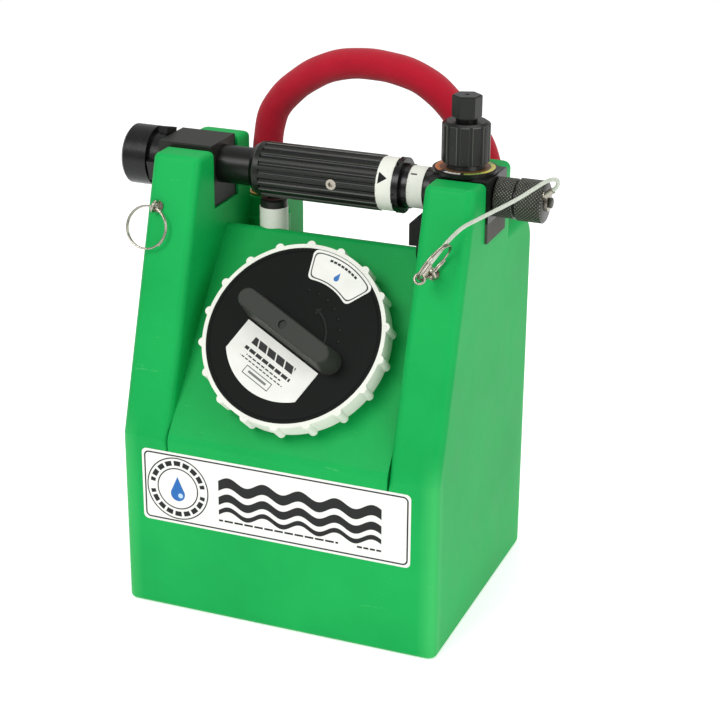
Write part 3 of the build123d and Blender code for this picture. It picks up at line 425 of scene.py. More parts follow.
def bright_steel(name, shade, roughness):
    """Stainless steel with faint drawing lines and warm reflections."""
    f = Finish(name)
    cloud = f.noise(120.0, 4.0)
    lines = f.noise(900.0, 3.0)
    base = f.blend(cloud, shade, shaded(shade, 0.72))
    return f.done(
        base_color=base,
        roughness=roughness + lines * 0.14,
        metallic=1.0,
        normal=f.relief(lines, 0.00002, 0.3),
    )


def turned_brass():
    """Turned brass with fine rings and darker clouds."""
    f = Finish("turned_brass")
    lines = f.noise(500.0, 2.0, 0.5, f.stretched((1.0, 1.0, 20.0)))
    cloud = f.noise(80.0, 4.0)
    base = f.blend(cloud, paint(198, 160, 92), paint(150, 116, 60))
    return f.done(
        base_color=base,
        roughness=0.28 + lines * 0.16,
        metallic=1.0,
        normal=f.relief(lines, 0.00004, 0.4),
    )


def soft_rubber():
    """Matt black rubber with a grey bloom."""
    f = Finish("soft_rubber")
    bloom = f.noise(90.0, 5.0, 0.7)
    grain = f.noise(1600.0, 2.0)
    base = f.blend(bloom, paint(24, 24, 25), paint(56, 55, 53))
    return f.done(
        base_color=base, roughness=0.7 + bloom * 0.12, normal=f.relief(grain, 0.0001, 0.5)
    )


def disc_black():
    """The cap's black disc: sheet grain, moulded rings and a raised turn arrow."""
    f = Finish("disc_black")
    u = f.along(PANEL, (1, 0, 0))
    v = f.along(PANEL, PANEL_UP)
    reach = from_middle(u, v)
    angle = v.degrees(u)
    arrow_radius, arrow_end = 25.5, 52.0
    bead_radius, bead_spacing, rim_radius = 36.0, 14.0, 65.2
    off_arrow = abs(reach - arrow_radius)
    band = off_arrow.under(1.1, 0.5) * angle.past(-18.0, 3.0) * angle.under(arrow_end, 3.0)
    head = off_arrow.under(4.0, 0.5) * abs(angle - (arrow_end + 4.0)).under(5.0, 2.0)
    taper = (off_arrow * 2.2 + (angle - arrow_end)).under(9.0, 1.0) * head
    beads = abs(reach - bead_radius).under(1.2, 0.5) * angle.repeat(bead_spacing).under(2.0, 0.8)
    beads = beads * angle.past(-10.0, 2.0) * angle.under(88.0, 2.0)
    raised = band.larger(taper).larger(beads * 0.8)
    rim = abs(reach - rim_radius).under(0.35, 0.3)
    grain = f.noise(1100.0, 2.0)
    cloud = f.noise(40.0, 4.0)
    dust = f.noise(300.0, 5.0, 0.75).past(0.66, 0.05)
    base = f.blend(cloud, paint(9, 11, 10), paint(17, 20, 17))
    base = f.blend(raised * 0.3 + dust * 0.1, base, paint(44, 48, 45))
    height = raised + grain * 0.06 - rim * 0.7
    return f.done(
        base_color=base,
        roughness=0.42 + cloud * 0.1 - raised * 0.12,
        normal=f.relief(height, 0.0005, 0.9),
        specular_ior_level=0.07,
    )


def cap_print(colours):
    """White labels on the cap: an outlined field with a water drop, and rows of plain dashes."""
    f = Finish("cap_print")
    u = f.along(PANEL, (1, 0, 0))
    v = f.along(PANEL, PANEL_UP)
    reach = from_middle(u, v)
    inner_radius, outer_radius, corner = 44.0, 67.0, 7.0
    start = radians(39.0)
    low_edge = v * cos(start) - u * sin(start)
    edge = (reach - inner_radius).rounded_with(outer_radius - reach, corner)
    edge = edge.rounded_with(low_edge.rounded_with(u, corner), corner)
    sector = (reach - (inner_radius - 1.0)).past(0.0)
    outline = abs(edge - 1.7).under(0.42, 0.25) * sector
    # the upper label, across and outwards from the cap's middle
    mark_radius, row_radius, middle = 53.2, 62.0, radians(64.5)
    across = u * sin(middle) - v * cos(middle)
    out = u * cos(middle) + v * sin(middle)
    mark = drop(across, out, (0.0, mark_radius), 3.4) * sector
    arc_row = abs(reach - row_radius).under(0.9, 0.3) * abs(across).under(13.0) * sector
    arc_row = arc_row * (1 - across.repeat(3.4).under(0.35, 0.2))
    # the lower label, turned with the handle: s runs along its rows and t up across them
    turn = radians(-27.0)
    s = u * cos(turn) + v * sin(turn)
    t = v * cos(turn) - u * sin(turn)
    lower = t.under(-9.0)
    slant = (s + t * 0.5).repeat(9.0).under(0.6, 0.3)
    rows = bar(s, t, (-22.0, -23.5), (20.0, -18.0)) * (1 - slant)
    for low, high, dash in (
        ((-24.0, -29.4), (22.0, -26.8), 6.6),
        ((-19.0, -32.6), (16.0, -31.6), 4.4),
        ((-23.0, -35.4), (20.0, -34.5), 3.7),
    ):
        rows = rows.larger(bar(s, t, low, high) * (1 - s.repeat(dash).under(0.5)))
    plain_box = bar(s, t, (-13.0, -44.6), (13.0, -37.8))
    rows = rows.larger(plain_box - bar(s, t, (-12.4, -44.0), (12.4, -38.4)))
    rows = rows.larger(bar(s, t, (-9.0, -42.0), (9.0, -40.2)) * 0.8)
    ink = outline.larger(arc_row).larger(rows * lower).clamped()
    cloud = f.noise(70.0, 4.0)
    base = f.blend(cloud, colours.label_white, paint(210, 212, 205))
    base = f.blend(ink, base, paint(22, 22, 24))
    base = f.blend(mark, base, paint(38, 104, 170))
    return f.done(base_color=base, roughness=0.4 + cloud * 0.12, specular_ior_level=0.25)


def tank_print(colours):
    """The long front label: an outlined white field, a drop in a ring, and three waves."""
    f = Finish("tank_print")
    low, high = [Vector(point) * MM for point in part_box("front_label")]
    middle_x, middle_z = (low.x + high.x) / 2, (low.z + high.z) / 2
    half_x, half_z = (high.x - low.x) / 2, (high.z - low.z) / 2
    x, _, z = f.axes()
    u = x - middle_x
    v = z - middle_z
    corner, border, ring_x = 6.0, 2.4, -79.0
    out_u = (abs(u) - (half_x - corner)).larger(0.0)
    out_v = (abs(v) - (half_z - corner)).larger(0.0)
    edge = corner - from_middle(out_u, out_v)
    inner = (half_x - abs(u)).smaller(half_z - abs(v)).smaller(edge)
    outline = abs(inner - border).under(0.62, 0.25)
    across = u - ring_x
    reach = from_middle(across, v)
    angle = v.degrees(across)
    outer_ring, bead_ring, inner_ring = 25.2, 21.0, 16.6
    rings = abs(reach - outer_ring).under(0.5).larger(abs(reach - inner_ring).under(0.5))
    beads = abs(reach - bead_ring).under(2.0, 0.3) * angle.repeat(20.0).past(2.6, 0.8)
    side_gap = 9.0
    beads = beads * abs(abs(angle) - 180.0).past(side_gap, 1.0) * abs(angle).past(side_gap, 1.0)
    mark = drop(u, v, (ring_x, -1.0), 9.6)
    shine = disc(u, v, (ring_x + 2.2, -5.6), 2.0, 0.4)
    wave_length, wave_height = 29.0, 2.9
    ripple = (u - 14.0).wave(wave_length) * wave_height
    waves = None
    for centre, half in ((9.4, 4.2), (-3.2, 3.4), (-12.6, 2.0)):
        wave = abs(v - ripple - centre).under(half, 0.25)
        waves = wave if waves is None else waves.larger(wave)
    waves = waves * u.past(-45.0) * u.under(86.0)
    small = bar(u, v, (-45.0, -20.6), (52.0, -19.0)) * (1 - u.repeat(8.2).under(0.6))
    small = small.larger(bar(u, v, (66.0, -20.6), (86.0, -19.0)) * (1 - u.repeat(5.1).under(0.5)))
    ink = outline.larger(rings).larger(beads).larger(waves).larger(small).clamped()
    cloud = f.noise(30.0, 4.0)
    crease = f.noise(14.0, 3.0, 0.5, f.stretched((1.0, 1.0, 2.0)))
    base = f.blend(cloud, colours.label_white, paint(222, 222, 218))
    base = f.blend(ink, base, paint(20, 20, 22))
    base = f.blend(mark, base, paint(32, 98, 168))
    base = f.blend(shine * 0.8, base, paint(196, 220, 238))
    return f.done(
        base_color=base,
        roughness=0.34 + cloud * 0.12,
        specular_ior_level=0.25,
        normal=f.relief(crease, 0.0012, 0.25),
    )


def around_tube(f):
    """x, and degrees round the handle tube upwards from its front, for a surface point."""
    x, y, z = f.axes()
    up = z - TUBE.z * MM
    front = (y - TUBE.y * MM) * -1
    return x, up.degrees(front)


def arrow_white(colours):
    """White pointer ring with one black triangle that points along the tube."""
    f = Finish("arrow_white")
    x, angle = around_tube(f)
    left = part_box("arrow_ring")[0][0] * MM
    pointer_angle, pointer_length, mm_per_degree = 27.0, 6.9, 0.349
    across = abs(angle - pointer_angle) * mm_per_degree
    reach = x - (left + 1.6)
    triangle = (across - (pointer_length - reach) * 0.66).under(0.0, 0.3)
    triangle = triangle * reach.past(0.0) * reach.under(pointer_length)
    cloud = f.noise(60.0, 4.0)
    base = f.blend(cloud, colours.cap_white, paint(206, 208, 198))
    base = f.blend(triangle, base, paint(3, 3, 4))
    return f.done(base_color=base, roughness=0.44 + cloud * 0.12, specular_ior_level=0.15)


def scale_white(colours):
    """White scale ring with fine ticks and one long dark mark."""
    f = Finish("scale_white")
    x, angle = around_tube(f)
    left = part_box("scale_ring")[0][0] * MM
    reach = x - left
    ticks = angle.repeat(30.0).under(0.4, 0.3) * reach.past(0.8) * reach.under(2.2) * 0.6
    long_tick = abs(angle - 52.0).under(2.4, 0.5) * reach.past(1.6) * reach.under(6.4)
    cloud = f.noise(60.0, 4.0)
    base = f.blend(cloud, colours.cap_white, paint(204, 206, 196))
    base = f.blend(ticks.larger(long_tick), base, paint(30, 30, 32))
    return f.done(base_color=base, roughness=0.44 + cloud * 0.12, specular_ior_level=0.15)


def dial_bands():
    """The dial's flat ring: brown, orange, white, yellow and green bands with tick marks."""
    f = Finish("dial_bands")
    x, y, _ = f.axes()
    across = x - DIAL.x * MM
    back = y - DIAL.y * MM
    reach = from_middle(across, back)
    turn = back.math("ARCTAN2", back, across) * (1 / tau) + 0.5
    brown, orange = paint(96, 58, 34), paint(196, 116, 52)
    white, yellow = paint(226, 224, 214), paint(214, 204, 96)
    green, dark = paint(150, 176, 84), paint(26, 26, 26)
    bands = f.node(
        "ShaderNodeValToRGB",
        {
            "stops": [
                (0.0, orange),
                (0.13, dark),
                (0.17, white),
                (0.27, dark),
                (0.29, green),
                (0.40, yellow),
                (0.60, green),
                (0.74, dark),
                (0.80, brown),
                (0.92, orange),
            ]
        },
        (turn,),
    )
    bands.socket.node.color_ramp.interpolation = "CONSTANT"
    inner_rim, outer_rim, tick_spacing = 18.2, 22.0, 10.0
    rims = abs(reach - inner_rim).under(0.35, 0.2).larger(reach.past(outer_rim, 0.3))
    ticks = (turn * 360.0).repeat(tick_spacing).under(0.6, 0.3)
    ticks = ticks * reach.past(inner_rim + 0.2) * reach.under(inner_rim + 2.2)
    cloud = f.noise(140.0, 4.0)
    base = f.blend(rims.larger(ticks), bands, dark)
    base = f.blend(reach.under(inner_rim - 0.2, 0.3), base, paint(120, 84, 52))
    base = f.blend(cloud * 0.2, base, dark)
    return f.done(base_color=base, roughness=0.28 + cloud * 0.15)


def woven_red(colours):
    """Red woven hose jacket: crossed yarns, a fuzzy grain and paler patches."""
    f = Finish("woven_red")
    uv = f.node("ShaderNodeTexCoord", {}, (), "UV")
    along, around, _ = f.axes(uv)
    yarn_pitch = 1.9
    warp = (along + around).wave(yarn_pitch)
    weft = (along - around).wave(yarn_pitch)
    weave = (warp * weft) * 0.5 + 0.5
    fuzz = f.noise(1500.0, 4.0, 0.7)
    patch = f.noise(34.0, 4.0)
    deep = shaded(colours.hose_red, 0.55)
    base = f.blend(weave * 0.6 + fuzz * 0.4, deep, colours.hose_red)
    base = f.blend((patch * 1.5 - 0.4).clamped() * 0.35, base, paint(206, 30, 54))
    return f.done(
        base_color=base,
        roughness=0.8 + fuzz * 0.12,
        sheen_weight=0.15,
        specular_ior_level=0.12,
        normal=f.relief(weave * 0.7 + fuzz * 0.5, 0.0004, 0.7),
    )


def clear_vinyl():
    """Clear vinyl jacket, its stranded core showing through as pale twisted lines."""
    f = Finish("clear_vinyl")
    uv = f.node("ShaderNodeTexCoord", {}, (), "UV")
    along, around, _ = f.axes(uv)
    strand_pitch = 3.2
    strand = (along + around * 1.4).wave(strand_pitch) * 0.5 + 0.5
    cloud = f.noise(200.0, 3.0)
    base = f.blend(strand * 0.25 + cloud * 0.75, paint(150, 158, 144), paint(192, 198, 184))
    return f.done(
        base_color=base,
        roughness=0.16 + cloud * 0.1,
        coat_weight=0.5,
        normal=f.relief(strand, 0.00001, 0.1),
    )


def pale_stage():
    """Plain pale floor that glows a little, so that it stays near white."""
    f = Finish("pale_stage")
    cloud = f.noise(1.5, 3.0)
    base = f.blend(cloud, paint(250, 250, 250), paint(246, 246, 246))
    return f.done(
        base_color=base,
        roughness=0.9,
        specular_ior_level=0.1,
        emission_color=base,
        emission_strength=0.42,
    )


# ---- mesh tools ----
def new_object(name, data):
    """An object that holds a mesh, curve, light or camera, linked into the scene."""
    made = bpy.data.objects.new(name, data)
    bpy.context.scene.collection.objects.link(made)
    return made


def mesh_from(name, points, faces, uvs=None):
    """A smooth-shaded mesh object, with one UV pair for each corner of each of its faces."""
    mesh = bpy.data.meshes.new(name)
    mesh.from_pydata(points, [], faces)
    if uvs:
        layer = mesh.uv_layers.new(name="UVMap")
        layer.data.foreach_set("uv", [value for pair in uvs for value in pair])
    mesh.polygons.foreach_set("use_smooth", [True] * len(mesh.polygons))
    mesh.validate()
    return new_object(name, mesh)


def smooth_line(points, per_run):
    """Points along the smooth spline that a route's points control."""
    curve = bpy.data.curves.new("route", "CURVE")
    curve.dimensions = "3D"
    curve.resolution_u = per_run
    spline = curve.splines.new("NURBS")
    spline.points.add(len(points) - 1)
    for target, point in zip(spline.points, points):
        target.co = (*point, 1.0)
    spline.order_u = 3
    spline.use_endpoint_u = True
    holder = new_object("route", curve)
    mesh = bpy.data.meshes.new_from_object(holder)
    line = [vertex.co.copy() for vertex in mesh.vertices]
    bpy.data.objects.remove(holder)
    bpy.data.curves.remove(curve)
    bpy.data.meshes.remove(mesh)
    return line


def frames_along(line, first_side):
    """Each point of a line with two directions across it, turned as little as possible."""
    frames = []
    side = Vector(first_side)
    last = len(line) - 1
    for index, point in enumerate(line):
        before = line[index - 1] if index else point
        after = line[index + 1] if index < last else point
        direction = (after - before).normalized()
        side = (side - direction * side.dot(direction)).normalized()
        frames.append((point, side, direction.cross(side)))
    return frames


def skin_faces(rings, sides):
    """Faces of a closed skin: the bands between its rings of points, then its two ends."""
    faces = []
    for near in range(0, (rings - 1) * sides, sides):
        far = near + sides
        for step in range(sides):
            beside = (step + 1) % sides
            faces.append((near + step, near + beside, far + beside, far + step))
    end = (rings - 1) * sides
    return [*faces, tuple(reversed(range(sides))), tuple(range(end, end + sides))]


def tube(name, line, radius_at, first_side, sides):
    """Closed round tube along a line; radius_at takes distance, angle and the whole length."""
    points, uvs = [], []
    travelled = [0.0]
    for before, after in zip(line, line[1:]):
        travelled.append(travelled[-1] + (after - before).length)
    for distance, (point, side, other) in zip(travelled, frames_along(line, first_side)):
        for step in range(sides):
            angle = tau * step / sides
            radius = radius_at(distance, angle, travelled[-1])
            points.append(point + side * cos(angle) * radius + other * sin(angle) * radius)
    wide = radius_at(travelled[-1] / 2, 0.0, travelled[-1])
    for here, there in zip(travelled, travelled[1:]):
        for step in range(sides):
            left = step / sides * tau * wide
            right = (step + 1) / sides * tau * wide
            uvs += [(here, left), (here, right), (there, right), (there, left)]
    uvs += [(0.0, 0.0)] * (2 * sides)
    return mesh_from(name, points, skin_faces(len(line), sides), uvs)


def lathe(name, rows, centre, axis, side, radius_at, sides):
    """Closed skin about an axis through rows of (distance, radius), which radius_at may change."""
    axis = Vector(axis).normalized()
    side = Vector(side).normalized()
    other = axis.cross(side)
    points = []
    for distance, radius in rows:
        for step in range(sides):
            angle = tau * step / sides
            out = side * cos(angle) + other * sin(angle)
            reach = radius_at(distance, angle, radius)
            points.append(Vector(centre) + axis * distance + out * reach)
    return mesh_from(name, points, skin_faces(len(rows), sides))


def give(piece, finish):
    """Make a finish the only material of a piece made here."""
    piece.data.materials.clear()
    piece.data.materials.append(finish)


def dress(finish, *names):
    """Put a finish on CAD nodes through their material slots."""
    for name in names:
        node = frame["nodes"][name]
        if not node.material_slots:
            raise RuntimeError(f"{name} has no material slot")
        for holder in node.material_slots:
            holder.material = finish


# ---- settings ----
def colour_setting(name, description, default):
    """A colour that the user can change."""
    return FloatVectorProperty(
        name=name,
        description=description,
        subtype="COLOR",
        size=4,
        min=0.0,
        max=1.0,
        default=default,
    )


def length_setting(name, description, default):
    """A length in metres that the user can change."""
    return FloatProperty(name=name, description=description, default=default, unit="LENGTH")


class RinsePackColours(bpy.types.PropertyGroup):
    tank_green: colour_setting("Tank green", "Colour of the moulded tank", paint(0, 156, 72))
    hose_red: colour_setting("Hose red", "Colour of the woven hose jacket", paint(176, 16, 40))
    cap_white: colour_setting(
        "Cap white", "Colour of the cap ring and the white rings", paint(226, 228, 218)
    )
    label_white: colour_setting(
        "Label white", "Ground colour of the printed labels", paint(230, 230, 224)
    )
    anodised_black: colour_setting(
        "Anodised black", "Colour of the valve's anodised metal", paint(11, 13, 10)
    )


class RinsePackSizes(bpy.types.PropertyGroup):
    hose_diameter: length_setting("Hose diameter", "Outside diameter of the stowed hose", 0.024)
    lanyard_diameter: length_setting(
        "Lanyard diameter", "Outside diameter of the cap's lanyard", 0.003
    )
    ring_diameter: length_setting(
        "Split ring diameter", "Diameter of the split rings at the middle of their wire", 0.032
    )
    ring_wire: length_setting(
        "Split ring wire", "Thickness of the split ring's two turns together", 0.003
    )
    knurl_depth: length_setting(
        "Knurl depth", "Depth of the diamond knurl on the outlet collar and cap", 0.0007
    )


# ---- pieces ----
KNURL_PITCH = 0.0026
KNURL_COUNT = 36  # diamonds round the collar
KNURL_ROWS = 44
KNURL_SIDES = 300
KNURL_STEEPNESS = 2.6
CAP_NUB = [  # distance from the cap's face and radius, from the nub's foot to its tip
    (0.0, 0.0042),
    (0.0, 0.0024),
    (0.0026, 0.0024),
    (0.0027, 0.0037),
    (0.0045, 0.0039),
    (0.0049, 0.0033),
    (0.005, 0.0018),
]
COIL_STEPS = 190
COIL_TURN = 2 * tau - 0.5  # radians: twice round, less the gap between the wire's ends
COIL_CROSSING = 0.06  # share of the wire that crosses from one turn to the next
COIL_FLARE = 0.0006  # how far the wire's loose end stands out
COIL_TIP = 0.0006  # length of the wire's thinner tips
FLOOR_HALF, FLOOR_DROP = 4.0, 0.0006
SKY_STRENGTH = 0.55
AIM = Vector((0.0, 0.0, 0.2))
CAMERA_PLACE = Vector((0.5219, -1.2557, 0.7349))
CAMERA_AZIMUTH, CAMERA_ELEVATION, CAMERA_ROLL = radians(21.60), radians(22.17), radians(0.39)
CAMERA_LENS = 94.9  # for a sensor 36 mm wide
LANYARD_ROUTE = [
    (0.10658, -0.07594, 0.29771),
    (0.1180, -0.0610, 0.3185),
    (0.1350, -0.0485, 0.3278),
    (0.1540, -0.0285, 0.3372),
    (0.1617, -0.0195, 0.3424),
    (0.1702, -0.0096, 0.3481),
    (0.1770, -0.0086, 0.3494),
    (0.17692, -0.00630, 0.34290),
    (0.17316, -0.00555, 0.33969),
]
HOSE_ROUTE = [
    (-0.081, 0.063, 0.291),
    (-0.081, 0.063, 0.343),
    (-0.063, 0.063, 0.373),
    (-0.029, 0.063, 0.396),
    (0.012, 0.063, 0.402),
    (0.052, 0.063, 0.393),
    (0.082, 0.063, 0.366),
    (0.105, 0.063, 0.331),
    (0.105, 0.063, 0.291),
]


class RINSEPACK_OT_tank(bpy.types.Operator):
    """Finish the moulded tank, its label and its necks"""

    bl_idname = "rinsepack.tank"
    bl_label = "Tank"

    def execute(self, context):
        colours = context.scene.rinse_pack_colours
        dress(moulded_green(colours), "tank_shell")
        dress(tank_print(colours), "front_label")
        dress(white_moulding(colours), "fill_neck", "vent_neck", "pickup_tube", "cap_ring")
        return {"FINISHED"}


class RINSEPACK_OT_filler_cap(bpy.types.Operator):
    """Finish the filler cap's disc, handle, labels and seal"""

    bl_idname = "rinsepack.filler_cap"
    bl_label = "Filler cap"

    def execute(self, context):
        colours = context.scene.rinse_pack_colours
        dress(disc_black(), "cap_disc")
        dress(cap_print(colours), "cap_labels")
        dress(black_moulding("bar_black", paint(32, 36, 30), 0.5, 900.0), "cap_handle")
        dress(soft_rubber(), "cap_gasket", "inlet_gasket", "outlet_cap_gasket")
        return {"FINISHED"}


class RINSEPACK_OT_handle(bpy.types.Operator):
    """Finish the handle tube, its grip, its inlet end and its rings"""

    bl_idname = "rinsepack.handle"
    bl_label = "Handle"

    def execute(self, context):
        colours = context.scene.rinse_pack_colours
        dress(anodised_black("tube_black", colours), "handle_tube", "inlet_tailpiece")
        low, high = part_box("grip_sleeve")
        lands = (TUBE, (0, 1, 0), (0, 0, 1), (high[2] - low[2]) / 2 * MM)
        dress(anodised_black("grip_black", colours, lightness=1.1, lands=lands), "grip_sleeve")
        dress(black_moulding("coupling_black", paint(13, 14, 13), 0.22), "inlet_coupling")
        dress(brushed_black(), "inlet_block")
        dress(black_moulding("detent_black", paint(10, 11, 10), 0.2), "detent_flange")
        dress(arrow_white(colours), "arrow_ring")
        dress(scale_white(colours), "scale_ring")
        return {"FINISHED"}


class RINSEPACK_OT_valve(bpy.types.Operator):
    """Finish the mixing valve, its saddle, dial and knob"""

    bl_idname = "rinsepack.valve"
    bl_label = "Mixing valve"

    def execute(self, context):
        colours = context.scene.rinse_pack_colours
        dress(anodised_black("valve_black", colours), "valve_body", "outlet_nipple")
        standing = (30.0, 30.0, 1.0)
        low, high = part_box("metering_knob")
        lands = (DIAL, (1, 0, 0), (0, 1, 0), (high[0] - low[0]) / 2 * MM)
        knob = anodised_black("knob_black", colours, axis=standing, lightness=1.2, lands=lands)
        dress(knob, "metering_knob")
        dress(anodised_black("hexagon_black", colours, axis=standing, lightness=1.6), "knob_hex")
        dress(grey_block(), "saddle_block")
        dress(dial_bands(), "dial_plate")
        dress(turned_brass(), "venturi_nozzle", "stem_gland", "metering_plate")
        dress(turned_brass(), "valve_spool", "hose_ferrules", "hose_coupling")
        return {"FINISHED"}


class RINSEPACK_OT_hardware(bpy.types.Operator):
    """Finish the screws, anchors, swivel, strainers and small fittings"""

    bl_idname = "rinsepack.hardware"
    bl_label = "Hardware"

    def execute(self, context):
        steel = bright_steel("bright_steel", paint(176, 170, 158), 0.2)
        dress(steel, "block_screws", "cap_handle_screws", "grip_screw", "metering_stem")
        dress(steel, "ring_anchors", "lanyard_clasp", "lanyard_swivel", "check_ball")
        dress(steel, "inlet_strainer")
        fittings = black_moulding("fitting_black", paint(22, 23, 22), 0.4)
        dress(fittings, "spray_nozzle", "foot_strainer", "vent_valve")
        return {"FINISHED"}


class RINSEPACK_OT_knurls(bpy.types.Operator):
    """Make the outlet's collar and cap with their diamond knurls"""

    bl_idname = "rinsepack.knurls"
    bl_label = "Knurled outlet"

    def execute(self, context):
        colours = context.scene.rinse_pack_colours
        depth = context.scene.rinse_pack_sizes.knurl_depth
        metal = knurled_black(colours, KNURL_PITCH * MM)
        chamfer, bevel = 0.0008, 0.0012
        for name, node, body, nub in (
            ("knurled_collar", "outlet_collar", "tank", []),
            ("knurled_cap", "outlet_cap", "outlet_cap", CAP_NUB),
        ):
            low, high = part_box(node)
            radius = (high[2] - low[2]) / 2
            left, right = low[0], high[0] - (nub[-1][0] if nub else 0.0)
            start, stop = left + bevel, right - bevel
            rows = [(left, radius * 0.62), (left, radius - 0.0013), (left + chamfer, radius)]
            for ring in range(KNURL_ROWS + 1):
                rows.append((start + (stop - start) * ring / KNURL_ROWS, radius))
            rows += [(right - chamfer, radius), (right, radius - 0.0011)]
            rows += [(right + out, size) for out, size in nub] or [(right, radius * 0.62)]

            def cut(distance, angle, plain):
                if not start <= distance <= stop:
                    return plain
                turn = angle / tau * KNURL_COUNT * KNURL_PITCH
                first = abs(((distance + turn) / KNURL_PITCH) % 1.0 - 0.5) * 2
                second = abs(((distance - turn) / KNURL_PITCH) % 1.0 - 0.5) * 2
                groove = max(1 - min(first, second) * KNURL_STEEPNESS, 0.0)
                return plain - depth * groove

            centre = (0.0, TUBE.y, TUBE.z)
            piece = lathe(name, rows, centre, (1, 0, 0), (0, -1, 0), cut, KNURL_SIDES)
            give(piece, metal)
            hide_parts(node)
            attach(piece, body)
        return {"FINISHED"}


class RINSEPACK_OT_hose(bpy.types.Operator):
    """Make the stowed red rinse hose with its woven jacket"""

    bl_idname = "rinsepack.hose"
    bl_label = "Rinse hose"

    def execute(self, context):
        colours = context.scene.rinse_pack_colours
        radius = context.scene.rinse_pack_sizes.hose_diameter / 2
        line = smooth_line(HOSE_ROUTE, 28)

        def swell(distance, angle, length):
            fine = sin(distance * 240) * 0.00012
            broad = sin(distance * 93 + angle) * 0.0002
            return radius - 0.0003 + fine + broad

        piece = tube("red_hose", line, swell, (0, 1, 0), 56)
        give(piece, woven_red(colours))
        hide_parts("rinse_hose")
        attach(piece, "stowed_hose")
        return {"FINISHED"}


class RINSEPACK_OT_lanyard(bpy.types.Operator):
    """Make the clear lanyard that ties the outlet cap to its strap ring"""

    bl_idname = "rinsepack.lanyard"
    bl_label = "Lanyard"

    def execute(self, context):
        radius = context.scene.rinse_pack_sizes.lanyard_diameter / 2
        line = smooth_line(LANYARD_ROUTE, 20)

        def even(distance, angle, length):
            return radius - 0.00004

        piece = tube("clear_lanyard", line, even, (0, 0, 1), 24)
        give(piece, clear_vinyl())
        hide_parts("lanyard", "lanyard_end")
        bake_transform(piece)
        return {"FINISHED"}


class RINSEPACK_OT_split_rings(bpy.types.Operator):
    """Make the two split rings, each a wire wound twice round with loose ends"""

    bl_idname = "rinsepack.split_rings"
    bl_label = "Split rings"

    def execute(self, context):
        sizes = context.scene.rinse_pack_sizes
        steel = bright_steel("ring_steel", paint(178, 172, 160), 0.16)
        half = sizes.ring_wire / 4
        for node, body, start in (
            ("left_ring", "left_strap_ring", 2.2),
            ("right_ring", "tank", 4.1),
        ):
            points = [vertex.co for vertex in frame["nodes"][node].data.vertices]
            centre = sum(points, Vector()) / len(points)
            normal = self.flattest([point - centre for point in points])
            side = normal.orthogonal().normalized()
            other = normal.cross(side)
            line = []
            for step in range(COIL_STEPS + 1):
                share = step / COIL_STEPS
                angle = start + share * COIL_TURN
                lift = max(-1.0, min(1.0, (share - 0.5) / COIL_CROSSING)) * half
                flare = max(0.0, 1 - (1 - share) * 22) * COIL_FLARE
                out = side * cos(angle) + other * sin(angle)
                line.append(centre + out * (sizes.ring_diameter / 2 + flare) + normal * lift)

            def wire(distance, angle, length):
                end = min(distance, length - distance)
                return half * (0.96 if end > COIL_TIP else 0.6)

            piece = tube(f"{node}_coil", line, wire, normal, 14)
            give(piece, steel)
            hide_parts(node)
            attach(piece, body)
        return {"FINISHED"}

    @staticmethod
    def flattest(offsets):
        """Direction across the flat plane that a ring's points lie in."""
        spread = Matrix(((0.0,) * 3,) * 3)
        for offset in offsets[:: max(1, len(offsets) // 400)]:
            for row in range(3):
                for column in range(3):
                    spread[row][column] += offset[row] * offset[column]
        inverse = (spread + Matrix.Identity(3) * 1e-9).inverted()
        direction = Vector((0.3, 0.5, 0.8))
        for _ in range(40):
            direction = (inverse @ direction).normalized()
        return direction


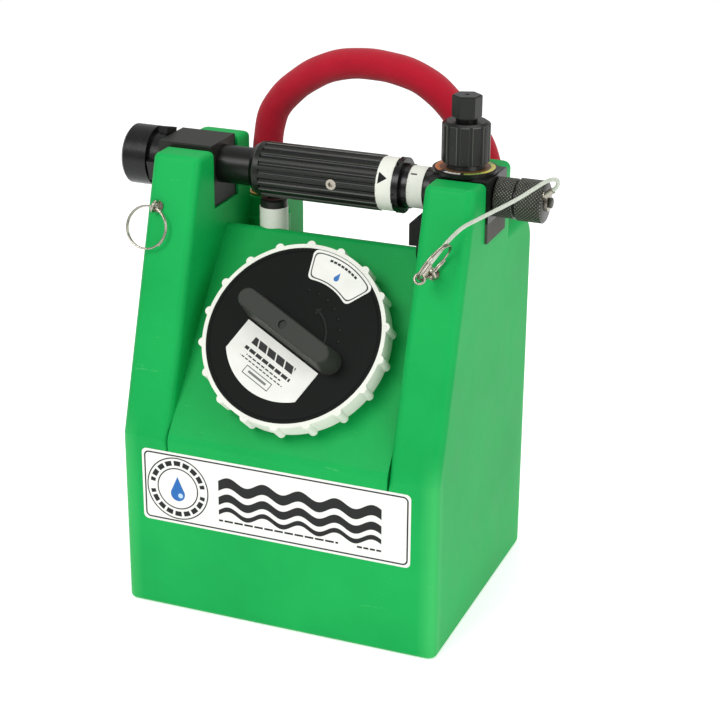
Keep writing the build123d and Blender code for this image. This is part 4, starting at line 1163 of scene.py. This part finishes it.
class RINSEPACK_OT_stage(bpy.types.Operator):
    """Lay a pale floor, light it softly and set the camera"""

    bl_idname = "rinsepack.stage"
    bl_label = "Stage"

    def execute(self, context):
        scene = context.scene
        floor_mesh = bmesh.new()
        bmesh.ops.create_grid(floor_mesh, x_segments=2, y_segments=2, size=FLOOR_HALF)
        mesh = bpy.data.meshes.new("floor")
        floor_mesh.to_mesh(mesh)
        floor_mesh.free()
        floor = new_object("floor", mesh)
        floor.location.z = -FLOOR_DROP
        give(floor, pale_stage())
        world = bpy.data.worlds.new("studio")
        scene.world = world
        world.use_nodes = True
        sky = world.node_tree.nodes["Background"]
        sky.inputs[0].default_value = (1.0, 1.0, 1.0, 1.0)
        sky.inputs[1].default_value = SKY_STRENGTH
        scene.view_settings.view_transform = "Standard"
        for name, place, size, power in (
            ("key", (-0.5, -1.5, 1.5), 0.9, 19.0),
            ("fill", (1.6, -0.7, 0.9), 1.2, 12.0),
            ("top", (0.1, 0.5, 1.8), 1.0, 9.0),
        ):
            data = bpy.data.lights.new(name, "AREA")
            data.size = size
            data.energy = power
            light = new_object(name, data)
            light.location = place
            aim = AIM - Vector(place)
            light.rotation_mode = "QUATERNION"
            light.rotation_quaternion = aim.to_track_quat("-Z", "Y")
        data = bpy.data.cameras.new("camera")
        data.sensor_width = 36.0
        data.lens = CAMERA_LENS
        data.clip_start, data.clip_end = 0.05, 20.0
        camera = new_object("camera", data)
        level = cos(CAMERA_ELEVATION)
        azimuth, roll = CAMERA_AZIMUTH, CAMERA_ROLL
        back = Vector((sin(azimuth) * level, -cos(azimuth) * level, sin(CAMERA_ELEVATION)))
        right = Vector((cos(azimuth), sin(azimuth), 0.0))
        up = back.cross(right)
        right, up = right * cos(roll) + up * sin(roll), up * cos(roll) - right * sin(roll)
        turn = Matrix((right, up, back)).transposed().to_4x4()
        camera.matrix_world = Matrix.Translation(CAMERA_PLACE) @ turn
        scene.camera = camera
        return {"FINISHED"}


OPERATORS = (
    RINSEPACK_OT_tank,
    RINSEPACK_OT_filler_cap,
    RINSEPACK_OT_handle,
    RINSEPACK_OT_valve,
    RINSEPACK_OT_hardware,
    RINSEPACK_OT_knurls,
    RINSEPACK_OT_hose,
    RINSEPACK_OT_lanyard,
    RINSEPACK_OT_split_rings,
    RINSEPACK_OT_stage,
)


class RINSEPACK_PT_panel(bpy.types.Panel):
    """Lists the pieces of the rinse pack and their settings"""

    bl_label = "Rinse Pack"
    bl_idname = "RINSEPACK_PT_panel"
    bl_space_type = "VIEW_3D"
    bl_region_type = "UI"
    bl_category = "Rinse Pack"

    def draw(self, context):
        for group in (context.scene.rinse_pack_colours, context.scene.rinse_pack_sizes):
            box = self.layout.box()
            for name in group.__annotations__:
                box.prop(group, name)
        for operator in OPERATORS:
            self.layout.operator(operator.bl_idname)


CLASSES = (RinsePackColours, RinsePackSizes, *OPERATORS, RINSEPACK_PT_panel)


def register():
    for item in CLASSES:
        bpy.utils.register_class(item)
    bpy.types.Scene.rinse_pack_colours = PointerProperty(type=RinsePackColours)
    bpy.types.Scene.rinse_pack_sizes = PointerProperty(type=RinsePackSizes)


def unregister():
    del bpy.types.Scene.rinse_pack_sizes
    del bpy.types.Scene.rinse_pack_colours
    for item in reversed(CLASSES):
        bpy.utils.unregister_class(item)


def main():
    register()
    for operator in OPERATORS:
        group, name = operator.bl_idname.split(".")
        getattr(getattr(bpy.ops, group), name)()


if __name__ == "__main__":
    main()
